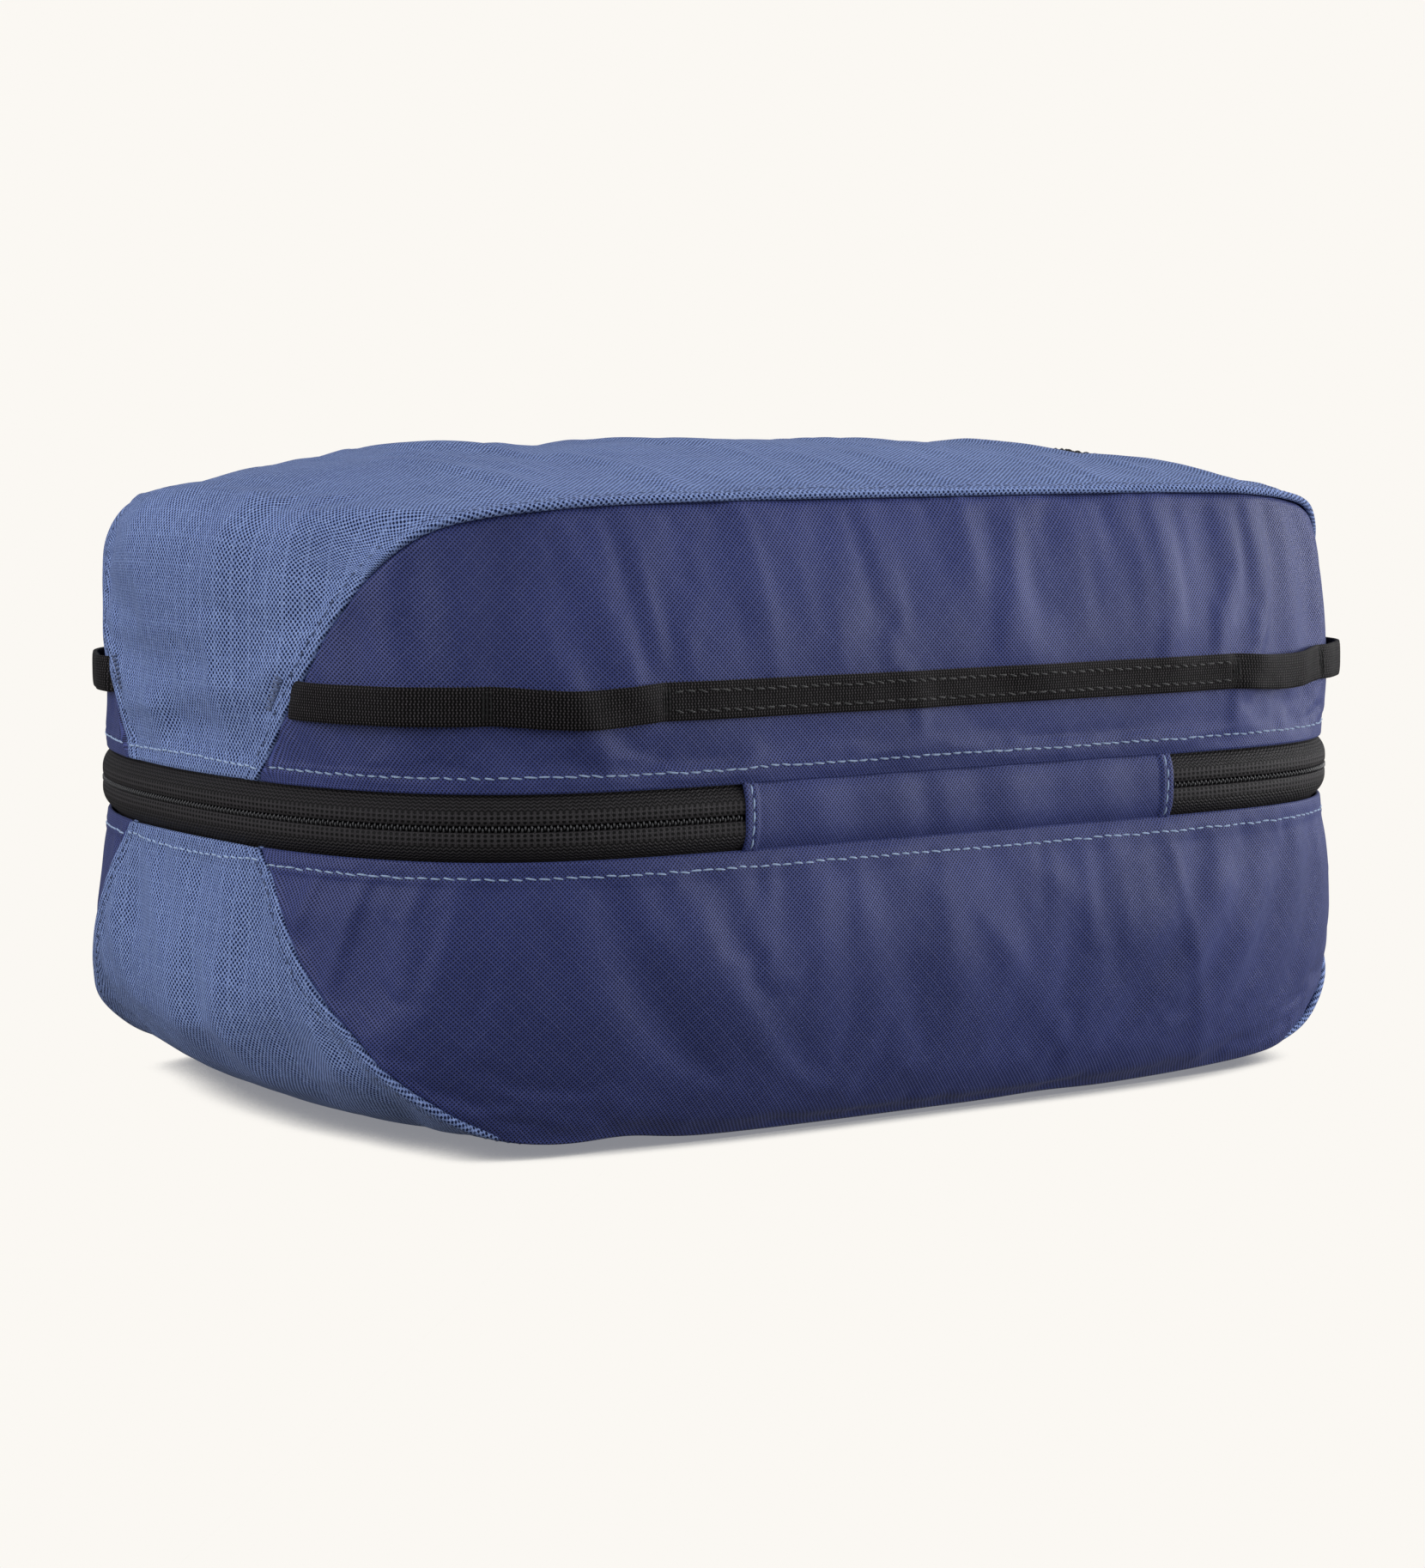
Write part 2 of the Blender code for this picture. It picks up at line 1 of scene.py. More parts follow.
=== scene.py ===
import math
import bpy
import numpy as np
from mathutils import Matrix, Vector


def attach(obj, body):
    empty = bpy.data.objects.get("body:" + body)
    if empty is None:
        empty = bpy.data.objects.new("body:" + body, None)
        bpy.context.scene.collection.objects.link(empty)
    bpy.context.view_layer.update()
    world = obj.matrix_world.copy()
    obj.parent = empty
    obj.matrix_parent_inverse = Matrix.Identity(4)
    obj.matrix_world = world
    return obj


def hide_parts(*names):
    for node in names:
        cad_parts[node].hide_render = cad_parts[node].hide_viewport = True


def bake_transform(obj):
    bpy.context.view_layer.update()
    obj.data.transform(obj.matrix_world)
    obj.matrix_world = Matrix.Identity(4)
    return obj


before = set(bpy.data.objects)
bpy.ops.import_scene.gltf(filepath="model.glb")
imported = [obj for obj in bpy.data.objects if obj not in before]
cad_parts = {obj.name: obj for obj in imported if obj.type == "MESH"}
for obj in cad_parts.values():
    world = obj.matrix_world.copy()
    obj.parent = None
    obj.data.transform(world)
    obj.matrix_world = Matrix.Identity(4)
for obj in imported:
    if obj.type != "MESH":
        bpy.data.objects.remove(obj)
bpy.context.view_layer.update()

# ------------------------------------------------------------ dimensions (m)
HZ, A, B = 0.0690, 0.1400, 0.0923
N_END, N_SIDE = 6.2, 2.2
RIM, RIM_INSET, STRIP = 0.0073, 0.0016, 0.0285
GUSSET_HALF = 0.0570
WEB_Z, WEB_W = 0.0245, 0.0080
TACKS = (0.076, 0.112)
HANDLE_W = 0.0150
DIV_Z, DIV_ZIP_Y, DIV_ZIP_HALF = -0.0085, 0.045, 0.112
CLOTH = 0.0006
STITCH = 0.00275                      # topstitch pitch

SEAM_UP = [(0.0, .0800, .0658), (.030, .0799, .0658), (.054, .0793, .0657), (.084, .0780, .0652),
           (.097, .0760, .0643), (.107, .0730, .0632), (.116, .0695, .0612), (.122, .0655, .0578),
           (.1268, .0610, .0525), (.1298, .0560, .0460), (.1322, .0510, .0395), (.1345, .0460, .0310),
           (.1356, .0390, .0220), (.1362, .0335, .0140), (.1366, .0285, .0073)]
SEAM_LO = [(0.0, .0800, -.0680), (.030, .0800, -.0680), (.054, .0798, -.0678), (.080, .0790, -.0670),
           (.101, .0770, -.0655), (.112, .0745, -.0625), (.120, .0710, -.0580), (.128, .0655, -.0510),
           (.1322, .0590, -.0435), (.1348, .0535, -.0380), (.1368, .0475, -.0310), (.1375, .0410, -.0220),
           (.1368, .0350, -.0130), (.1366, .0285, -.0073)]
CREST_UP = [(0.0000, 0.0764), (0.0391, 0.0758), (0.0586, 0.0751), (0.0781, 0.0740), (0.0878, 0.0733), (0.0959, 0.0727),
            (0.1041, 0.0720), (0.1121, 0.0713), (0.1205, 0.0700), (0.1282, 0.0676), (0.1349, 0.0632), (0.1396, 0.0564),
            (0.1413, 0.0485), (0.1413, 0.0403), (0.1406, 0.0319), (0.1396, 0.0238), (0.1384, 0.0158), (0.1384, 0.0073)]
CREST_LO = [(0.0000, -0.0704), (0.0382, -0.0703), (0.0573, -0.0701), (0.0763, -0.0700), (0.0859, -0.0697), (0.0938, -0.0693),
            (0.1017, -0.0685), (0.1093, -0.0670), (0.1169, -0.0648), (0.1236, -0.0617), (0.1300, -0.0580), (0.1358, -0.0527),
            (0.1400, -0.0465), (0.1416, -0.0393), (0.1412, -0.0312), (0.1399, -0.0234), (0.1386, -0.0156), (0.1384, -0.0073)]
BULGE = {1: 0.0072, -1: 0.0088}


def resample(points, n):
    p = np.array(points, float)
    d = np.r_[0.0, np.cumsum(np.linalg.norm(np.diff(p, axis=0), axis=1))]
    fine = []
    for k in range(len(p) - 1):
        a, b = p[max(k - 1, 0)], p[k]
        c, e = p[k + 1], p[min(k + 2, len(p) - 1)]
        h = d[k + 1] - d[k]
        m0 = (c - a) / max(d[k + 1] - d[max(k - 1, 0)], 1e-9) * h
        m1 = (e - b) / max(d[min(k + 2, len(p) - 1)] - d[k], 1e-9) * h
        for t in np.linspace(0, 1, 12, endpoint=False):
            fine.append((2*t**3 - 3*t*t + 1)*b + (t**3 - 2*t*t + t)*m0
                        + (-2*t**3 + 3*t*t)*c + (t**3 - t*t)*m1)
    fine.append(p[-1])
    fine = np.array(fine)
    s = np.r_[0.0, np.cumsum(np.linalg.norm(np.diff(fine, axis=0), axis=1))]
    q = np.linspace(0, s[-1], n)
    return np.stack([np.interp(q, s, fine[:, j]) for j in range(fine.shape[1])], -1)


def soften(p, n=5):
    """Smooths a resampled curve so that no facet of its making shows."""
    p = p.copy()
    for _ in range(n):
        p[1:-1] = 0.25 * p[:-2] + 0.5 * p[1:-1] + 0.25 * p[2:]
    return p


_tau = np.linspace(0, math.pi / 2, 2001)
_q = np.stack([A * np.sin(_tau) ** (2 / N_END), B * np.cos(_tau) ** (2 / N_SIDE)], -1)
_loop = np.concatenate([_q * [1, -1], _q[::-1][1:] * [1, 1], _q[1:] * [-1, 1], _q[::-1][1:] * [-1, -1]])
_s = np.r_[0.0, np.cumsum(np.linalg.norm(np.diff(_loop, axis=0), axis=1))]
GIRTH = _s[-1]
_es = np.linspace(0, GIRTH, 1601)
_even = np.stack([np.interp(_es, _s, _loop[:, j]) for j in (0, 1)], -1)
_tan = np.roll(_even[:-1], -4, 0) - np.roll(_even[:-1], 4, 0)
_tan = np.concatenate([_tan, _tan[:1]])
_tan /= np.linalg.norm(_tan, axis=1)[:, None]


def outline(length, inset=0.0):
    """Plan points and outward normals, by distance from the front middle."""
    length = np.mod(np.asarray(length, float), GIRTH)
    p = np.stack([np.interp(length, _es, _even[:, j]) for j in (0, 1)], -1)
    t = np.stack([np.interp(length, _es, _tan[:, j]) for j in (0, 1)], -1)
    n = np.stack([t[..., 1], -t[..., 0]], -1)
    n /= np.linalg.norm(n, axis=-1)[..., None]
    return p - n * np.asarray(inset)[..., None], n


_k = _es <= GIRTH / 4
EDGE_LEN = float(np.interp(-STRIP, _even[_k][:, 1], _es[_k]))
L0 = float(_es[np.argmin(np.abs(_even[:400, 0] - GUSSET_HALF))]) + 0.0004
L1 = GIRTH - L0

SEAMS = {1: soften(resample(SEAM_UP, 600), 30), -1: soften(resample(SEAM_LO, 600), 30)}
CRESTS = {1: soften(resample(CREST_UP, 600), 40), -1: soften(resample(CREST_LO, 600), 40)}
_f = np.linspace(0, 1, 600)
SEAM_LEN = {h: float(np.linalg.norm(np.diff(SEAMS[h], axis=0), axis=1).sum()) for h in (1, -1)}
CREST_LEN = {h: float(np.linalg.norm(np.diff(CRESTS[h], axis=0), axis=1).sum()) for h in (1, -1)}


def look(curve, f):
    return [np.interp(f, _f, curve[:, j]) for j in range(curve.shape[1])]


def bell(x, c, w):
    return np.exp(-((x - c) / w) ** 2)


def step(x, a, b):
    t = np.clip((x - a) / (b - a), 0, 1)
    return t * t * (3 - 2 * t)


def noise1(x, period, seed):
    v = np.random.default_rng(seed).uniform(-1, 1, 256)
    q = np.asarray(x, float) / period + 100.37
    k = np.floor(q).astype(int)
    f = q - k
    f = f * f * (3 - 2 * f)
    return v[k % 256] * (1 - f) + v[(k + 1) % 256] * f


def noise2(x, y, period, seed):
    v = np.random.default_rng(seed).uniform(-1, 1, (128, 128))
    a, b = np.asarray(x, float) / period + 50.3, np.asarray(y, float) / period + 50.7
    i, j = np.floor(a).astype(int), np.floor(b).astype(int)
    f, g = a - i, b - j
    f, g = f * f * (3 - 2 * f), g * g * (3 - 2 * g)
    i0, i1, j0, j1 = i % 128, (i + 1) % 128, j % 128, (j + 1) % 128
    return (v[i0, j0] * (1 - f) + v[i1, j0] * f) * (1 - g) + (v[i0, j1] * (1 - f) + v[i1, j1] * f) * g


def seam(half, side, s):
    """Seam points; half +1 upper, -1 lower; side -1 front, +1 back; s in -1..1."""
    x, y, z = look(SEAMS[half], np.abs(s))
    x = np.where(s < 0, -x, x)
    if half < 0 and side < 0:                    # the front edge lifts off the ground here
        z = z + 0.0011 * bell(x, -0.078, 0.010) + 0.0004 * bell(x, 0.030, 0.012)
    return np.stack([x, side * y, z], -1)


def side_base(half, side, s, t):
    s, t = np.broadcast_arrays(np.asarray(s, float), np.asarray(t, float))
    p, n = outline(np.sign(s) * EDGE_LEN * np.abs(s), RIM_INSET)
    e = np.stack([p[..., 0], p[..., 1] * (-side), np.full(s.shape, half * RIM)], -1)
    nn = np.stack([n[..., 0], n[..., 1] * (-side), np.zeros(s.shape)], -1)
    c = seam(half, side, s)
    h = np.linalg.norm(c - e, axis=-1)
    b = BULGE[half] * np.minimum(1.0, h / 0.058) ** 1.2 * (1 - 0.72 * step(np.abs(s), 0.30, 0.62))
    if side > 0:
        b = b * (1 - 0.9 * step(np.abs(s), 0.50, 0.72))
    t = t[..., None]
    return (1 - t) * e + t * c + nn * b[..., None] * 4 * t * (1 - t), h


def wrap_base(half, s, t):
    s, t = np.broadcast_arrays(np.asarray(s, float), np.asarray(t, float))
    f = seam(half, -1, s)
    cx, cz = look(CRESTS[half], np.abs(s))
    if half > 0:                                 # flatter where the handle is sewn on
        cz = cz - 0.0011 * step(s, 0.34, 0.46) * (1 - step(s, 0.60, 0.72))
    v = 2 * t - 1
    k = np.maximum(1 - v * v, 0) ** 1.2
    x = np.abs(f[..., 0]) + (cx - np.abs(f[..., 0])) * k
    z = f[..., 2] + (cz - f[..., 2]) * k
    if half < 0:
        z = np.maximum(z, -HZ)
    return np.stack([np.sign(s) * x, v * (-f[..., 1]), z], -1), 2 * np.abs(f[..., 1])


def normals_of(fn, s, t, half):
    e1, e2 = 0.004, 0.01
    a = fn(np.clip(s + e1, -1, 1), t) - fn(np.clip(s - e1, -1, 1), t)
    b = fn(s, np.clip(t + e2, 0, 1)) - fn(s, np.clip(t - e2, 0, 1))
    n = np.cross(a, b)
    n /= np.maximum(np.linalg.norm(n, axis=-1), 1e-12)[..., None]
    out = fn(s, t) - np.array([0.0, 0.0, half * 0.03])
    flip = np.sign((n * out).sum(-1))
    return n * np.where(flip == 0, 1, flip)[..., None]


# --------------------------------------------------- creases of the soft walls
# (x0, z0, x1, z1, half width, height) in millimetres; a negative height is a valley
CREASES = {
    (1, -1): [(5, 64, 4, 42, 3.0, 1.0), (11.5, 62, 8.5, 42, 2.6, -1.0), (19, 61, 11, 34, 3.2, 1.25),
              (-3.5, 64, -4.5, 50, 2.4, -0.6), (52, 62, 55, 27, 6.5, 0.9), (35, 64, 33.5, 50, 4.0, 0.7),
              (27, 62, 19, 37, 3.4, -0.9), (71, 62, 70, 40, 6.0, -0.6), (88, 60, 84, 42, 5.0, 0.5),
              (-30, 64, -36, 48, 6.0, 0.35), (-62, 64, -66, 50, 7.0, 0.3), (44, 62, 44, 36, 3.6, -0.45)],
    (-1, -1): [(-34, -12, -57, -42, 4.5, 0.9), (-11, -12, 1, -53, 3.6, 0.8), (4, -26, 35, -62, 3.2, 0.85),
               (17, -14, 48, -34, 3.6, 0.9), (56, -12, 74, -66, 1.8, 0.7), (-67, -10, -64, -26, 4.0, 0.5),
               (-137, -20, -120, -12, 3.0, 0.5), (-25, -14, -18, -50, 4.0, -0.7), (12, -20, 20, -52, 3.0, -0.7),
               (35, -22, 51, -54, 4.0, -0.8), (72, -18, 88, -52, 5.0, 0.5), (-88, -10, -100, -30, 5.0, -0.4)],
    (1, 1): [(-20, 64, -16, 40, 3.2, 0.9), (-30, 62, -40, 34, 4.0, -0.7), (14, 64, 20, 44, 3.0, 0.7),
             (58, 62, 50, 30, 6.0, 0.7), (-74, 62, -70, 36, 5.0, 0.5), (36, 62, 40, 36, 3.6, -0.6)],
    (-1, 1): [(-40, -12, -22, -46, 4.0, 0.9), (30, -12, 52, -40, 4.0, 0.8), (4, -14, -4, -44, 3.4, -0.7),
              (-76, -12, -62, -50, 5.0, 0.6), (74, -14, 66, -50, 4.0, -0.6), (92, -14, 84, -42, 4.0, 0.5)],
}


def crease_field(half, side, x, z):
    d = np.zeros(np.shape(x))
    for x0, z0, x1, z1, w, h in CREASES[(half, side)]:
        a, b = np.array([x0, z0]) * 1e-3, np.array([x1, z1]) * 1e-3
        ab = b - a
        length = np.linalg.norm(ab)
        q = ((x - a[0]) * ab[0] + (z - a[1]) * ab[1]) / length ** 2
        perp = ((x - a[0]) * ab[1] - (z - a[1]) * ab[0]) / length
        along = step(q, -0.25, 0.12) * (1 - step(q, 0.55, 1.25))
        width = w * 1.3e-3 * (0.75 + 0.5 * np.clip(q, 0, 1.2))
        d += h * 0.65e-3 * along * np.exp(-(perp / width) ** 2)
    return d


# ------------------------------------------------------------ cloth simulation


def spread(d, s, t):
    """Smooth interpolation of a coarse field d (nu, nv, 3) at s in -1..1, t in 0..1."""
    nu, nv = d.shape[:2]
    a, b = np.clip((s + 1) / 2, 0, 1) * (nu - 1), np.clip(t, 0, 1) * (nv - 1)
    i, j = np.minimum(np.floor(a).astype(int), nu - 2), np.minimum(np.floor(b).astype(int), nv - 2)
    f, g = a - i, b - j

    def weights(q):
        return [(-q + 2*q*q - q**3) / 2, (2 - 5*q*q + 3*q**3) / 2, (q + 4*q*q - 3*q**3) / 2, (q**3 - q*q) / 2]
    wf, wg = weights(f), weights(g)
    out = np.zeros(np.shape(a) + (3,))
    for m in range(4):
        im = np.clip(i + m - 1, 0, nu - 1)
        for k in range(4):
            jk = np.clip(j + k - 1, 0, nv - 1)
            out += d[im, jk] * (wf[m] * wg[k])[..., None]
    return out


def simulate(name, p, pull_down, slack, folds, frames=22):
    """Cloth of a slightly larger cut, held at its seams and pressed out by what is inside."""
    nu, nv = p.shape[:2]
    idx = np.arange(nu * nv).reshape(nu, nv)
    faces = np.stack([idx[:-1, :-1], idx[1:, :-1], idx[1:, 1:], idx[:-1, 1:]], -1).reshape(-1, 4)
    me = bpy.data.meshes.new(name)
    me.from_pydata(p.reshape(-1, 3).tolist(), [], faces.tolist())
    me.update()
    co = p.reshape(-1, 3)
    fc = co[faces].mean(1)
    fn = np.cross(co[faces[:, 1]] - co[faces[:, 0]], co[faces[:, 3]] - co[faces[:, 0]])
    if (fn * (fc - np.array([0, 0, fc[:, 2].mean() * 0.4]))).sum() < 0:
        me.flip_normals()
    ob = bpy.data.objects.new(name, me)
    bpy.context.scene.collection.objects.link(ob)
    g = ob.vertex_groups.new(name="held")
    rim = np.unique(np.r_[idx[0], idx[-1], idx[:, 0], idx[:, -1]])
    g.add([int(k) for k in rim], 1.0, "REPLACE")
    m = ob.modifiers.new("cloth", "CLOTH")
    c = m.settings
    c.quality = 5
    c.mass = 0.12
    c.tension_stiffness = 18
    c.compression_stiffness = 18
    c.shear_stiffness = 8
    c.bending_stiffness = 0.9
    c.tension_damping = c.compression_damping = c.shear_damping = 12
    c.bending_damping = 1.0
    c.air_damping = 3
    c.vertex_group_mass = "held"
    c.shrink_min = -slack
    c.use_pressure = True
    c.uniform_pressure_force = 1.2
    c.pressure_factor = 1.0
    c.effector_weights.gravity = pull_down
    m.collision_settings.use_collision = False
    m.point_cache.frame_start, m.point_cache.frame_end = 1, frames
    sc = bpy.context.scene
    for f in range(1, frames + 1):
        sc.frame_set(f)
    dg = bpy.context.evaluated_depsgraph_get()
    em = ob.evaluated_get(dg).to_mesh()
    co1 = np.zeros(len(em.vertices) * 3)
    em.vertices.foreach_get("co", co1)
    d = co1.reshape(nu, nv, 3) - p
    bpy.data.objects.remove(ob, do_unlink=True)
    bpy.data.meshes.remove(me)
    sc.frame_set(1)
    low = d.copy()                               # the overall shape is set by the pattern; the folds are kept
    for _ in range(60):
        low[1:-1] = 0.25 * low[:-2] + 0.5 * low[1:-1] + 0.25 * low[2:]
        low[:, 1:-1] = 0.25 * low[:, :-2] + 0.5 * low[:, 1:-1] + 0.25 * low[:, 2:]
    d = (d - low) * folds
    size = np.linalg.norm(d, axis=-1)
    cap = 0.0016
    d *= (np.minimum(size, cap) / np.maximum(size, 1e-9))[..., None]
    return d


SIM = {}
for half in (1, -1):
    for side in (-1, 1):
        s, t = np.meshgrid(np.linspace(-1, 1, 111), np.linspace(0, 1, 31), indexing="ij")
        p, _h = side_base(half, side, s * 0.985, t)
        n = normals_of(lambda a, b: side_base(half, side, a, b)[0], s * 0.985, t, half)
        p = p + n * (0.0003 * noise2(p[..., 0], p[..., 2], 0.009, 11 + half + 3 * side))[..., None]
        SIM[(half, side)] = simulate("sim_side", p, 0.6, 0.006, 0.65)
    s, t = np.meshgrid(np.linspace(-1, 1, 121), np.linspace(0, 1, 45), indexing="ij")
    p, _h = wrap_base(half, s, t)
    n = normals_of(lambda a, b: wrap_base(half, a, b)[0], s, t, half)
    p = p + n * (0.0003 * noise2(p[..., 0] + p[..., 2], p[..., 1], 0.010, 31 + half))[..., None]
    SIM[(half, 0)] = simulate("sim_wrap", p, 0.15, 0.007, 0.55)


def puckers(along, depth, seed):
    """Small gathers beside a stitched line; depth is the distance from it."""
    a = 0.00018 * noise1(along, 0.0031, seed) + 0.00022 * noise1(along, 0.0070, seed + 1)
    b = 0.00030 * noise1(along, 0.0130, seed + 2)
    return a * np.exp(-(depth / 0.0045) ** 2) + b * np.exp(-(depth / 0.012) ** 2)


def side_pos(half, side, s, t):
    """Outer face of a dark side panel with its hem, gathers and creases, and its normals."""
    s, t = np.broadcast_arrays(np.asarray(s, float), np.asarray(t, float))
    p, h = side_base(half, side, s, t)
    n = normals_of(lambda a, b: side_base(half, side, a, b)[0], s, t, half)
    low, top = t * h, (1 - t) * h                # distances from the zipper edge and the seam
    inner = step(low, 0.002, 0.012) * step(top, 0.001, 0.008)
    d = crease_field(half, side, p[..., 0], p[..., 2]) * step(low, 0.0025, 0.009) * step(top, 0.0, 0.005)
    d += inner * 0.00035 * noise2(p[..., 0], p[..., 2], 0.021, 5 + 2 * half + side)
    d += inner * 0.00012 * noise2(p[..., 0], p[..., 2], 0.008, 6 + 2 * half + side)
    seed = 40 + 3 * half + side
    d += puckers(s * EDGE_LEN, np.abs(low - 0.0030), seed) * step(low, 0.0, 0.002)
    d += puckers(s * EDGE_LEN, top, seed + 9) * 1.2 * step(top, 0.0, 0.0018)
    d += 0.00045 * (1 - step(low, 0.0034, 0.0048))                  # doubled hem
    d -= 0.00028 * bell(low, 0.0030, 0.0006)                        # pulled in by the thread
    low_run = (1 - step(np.abs(p[..., 0]), 0.100, 0.124)) if half < 0 else 0.0
    d -= 0.0016 * (1 - step(top, 0.0002, 0.0022)) * (1 - 0.85 * low_run)                   # tucked under the seam's fold
    if half > 0:                                                    # pressed in behind the webbing
        d -= 0.0005 * bell(p[..., 2], WEB_Z, 0.0055) * (1 - step(np.abs(p[..., 0]), 0.070, 0.085))
    w = spread(SIM[(half, side)], s, t) * (step(low, 0.001, 0.006) * step(top, 0.001, 0.005))[..., None]
    return p + n * d[..., None] + w, n


def wrap_pos(half, s, t):
    """Outer face of a light wrap panel with its turned edges and gathers, and its normals."""
    s, t = np.broadcast_arrays(np.asarray(s, float), np.asarray(t, float))
    p, w = wrap_base(half, s, t)
    n = normals_of(lambda a, b: wrap_base(half, a, b)[0], s, t, half)
    edge = np.minimum(t, 1 - t) * w
    rim = (1 - np.abs(s)) * CREST_LEN[half]
    along = s * SEAM_LEN[half]
    wall = step(np.abs(p[..., 0]), 0.118, 0.134)
    inner = step(edge, 0.001, 0.010) * step(rim, 0.001, 0.010)
    if half < 0:
        inner = inner * (0.12 + 0.88 * step(np.abs(p[..., 0]), 0.100, 0.120))
    d = inner * 0.00070 * noise2(p[..., 0] + p[..., 2] * 0.8, p[..., 1], 0.030, 70 + half)
    d += inner * 0.00028 * noise2(p[..., 0] - p[..., 2], p[..., 1], 0.013, 71 + half)
    d += inner * wall * 0.0012 * noise2(p[..., 2] * 0.7, p[..., 1] * 1.3, 0.014, 72 + half)
    if half > 0:
        d += inner * 0.0005 * (1 - wall)
    seed = 90 + 5 * half
    d += puckers(along + (t > 0.5) * 0.7, edge, seed) * step(edge, 0.0, 0.0015) * (1.0 if half > 0 else 0.5)
    d += puckers(p[..., 1], np.abs(rim - 0.0030), seed + 3) * step(rim, 0.0, 0.002)
    d += 0.00040 * (1 - step(edge, 0.0026, 0.0038)) * (1.0 if half > 0 else 0.25 + 0.75 * wall)
    d += 0.00045 * (1 - step(rim, 0.0034, 0.0048))
    d -= 0.00022 * bell(edge, 0.0018, 0.0005)
    d -= 0.00028 * bell(rim, 0.0030, 0.0006)
    c = spread(SIM[(half, 0)], s, t) * (step(edge, 0.0, 0.006) * step(rim, 0.001, 0.006))[..., None]
    q = p + n * d[..., None] + c
    if half < 0:                                 # along the ground the turned edge sits under the side panel
        flat = 1 - step(np.abs(p[..., 0]), 0.100, 0.124)
        q[..., 1] -= np.sign(q[..., 1]) * 0.0022 * flat * (1 - step(edge, 0.0, 0.010))
        q[..., 2] = np.maximum(q[..., 2], -HZ + 0.00002)
    return q, n


# --------------------------------------------------------------- mesh helpers


def grid_object(name, p, uv, body, mat, thick=0.0, smooth=True, raw=False):
    """A sheet of quads through p (nu, nv, 3), relative to the zipper plane, facing away from the middle."""
    nu, nv = p.shape[:2]
    co = p.reshape(-1, 3) + np.array([0, 0, HZ])
    idx = np.arange(nu * nv).reshape(nu, nv)
    q = np.stack([idx[:-1, :-1], idx[1:, :-1], idx[1:, 1:], idx[:-1, 1:]], -1).reshape(-1, 4)
    fc = co[q].mean(1)
    fn = np.cross(co[q[:, 2]] - co[q[:, 0]], co[q[:, 3]] - co[q[:, 1]])
    if not raw and (fn * (fc - np.array([0, 0, HZ]))).sum() < 0:
        q = q[:, ::-1]
    me = bpy.data.meshes.new(name)
    me.vertices.add(len(co))
    me.vertices.foreach_set("co", co.ravel())
    me.loops.add(q.size)
    me.loops.foreach_set("vertex_index", q.ravel().astype(np.int32))
    me.polygons.add(len(q))
    me.polygons.foreach_set("loop_start", (np.arange(len(q)) * 4).astype(np.int32))
    me.update(calc_edges=True)
    me.validate()
    layer = me.uv_layers.new(name="UVMap")
    layer.data.foreach_set("uv", uv.reshape(-1, 2)[q.ravel()].astype(np.float32).ravel())
    if smooth:
        me.shade_smooth()
    me.materials.append(mat)
    ob = bpy.data.objects.new(name, me)
    bpy.context.scene.collection.objects.link(ob)
    if thick:
        m = ob.modifiers.new("cloth_thickness", "SOLIDIFY")
        m.thickness = thick
        m.offset = -1.0
        m.use_even_offset = False
    if body:
        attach(ob, body)
    return ob


def overhang(p, inner, n, reach=0.0006):
    """A row that carries an edge a little past its seam, before it folds under."""
    d = p - inner
    d -= n * (d * n).sum(-1)[..., None]
    d /= np.maximum(np.linalg.norm(d, axis=-1), 1e-12)[..., None]
    q = p + d * reach
    q[..., 2] = np.maximum(q[..., 2], -HZ + 0.00002)
    return q


def roll(p, inner, n, r, turns=1.15, k=6):
    """Rows that carry an edge round a fold of radius r; inner is the row beside the edge."""
    d = p - inner
    d -= n * (d * n).sum(-1)[..., None]
    d /= np.maximum(np.linalg.norm(d, axis=-1), 1e-12)[..., None]
    rows = []
    for a in np.linspace(0, math.pi * turns, k + 1)[1:]:
        q = p - n * r + r * (n * math.cos(a) + d * math.sin(a))
        q[..., 2] = np.maximum(q[..., 2], -HZ + 0.00002)
        rows.append(q)
    return rows


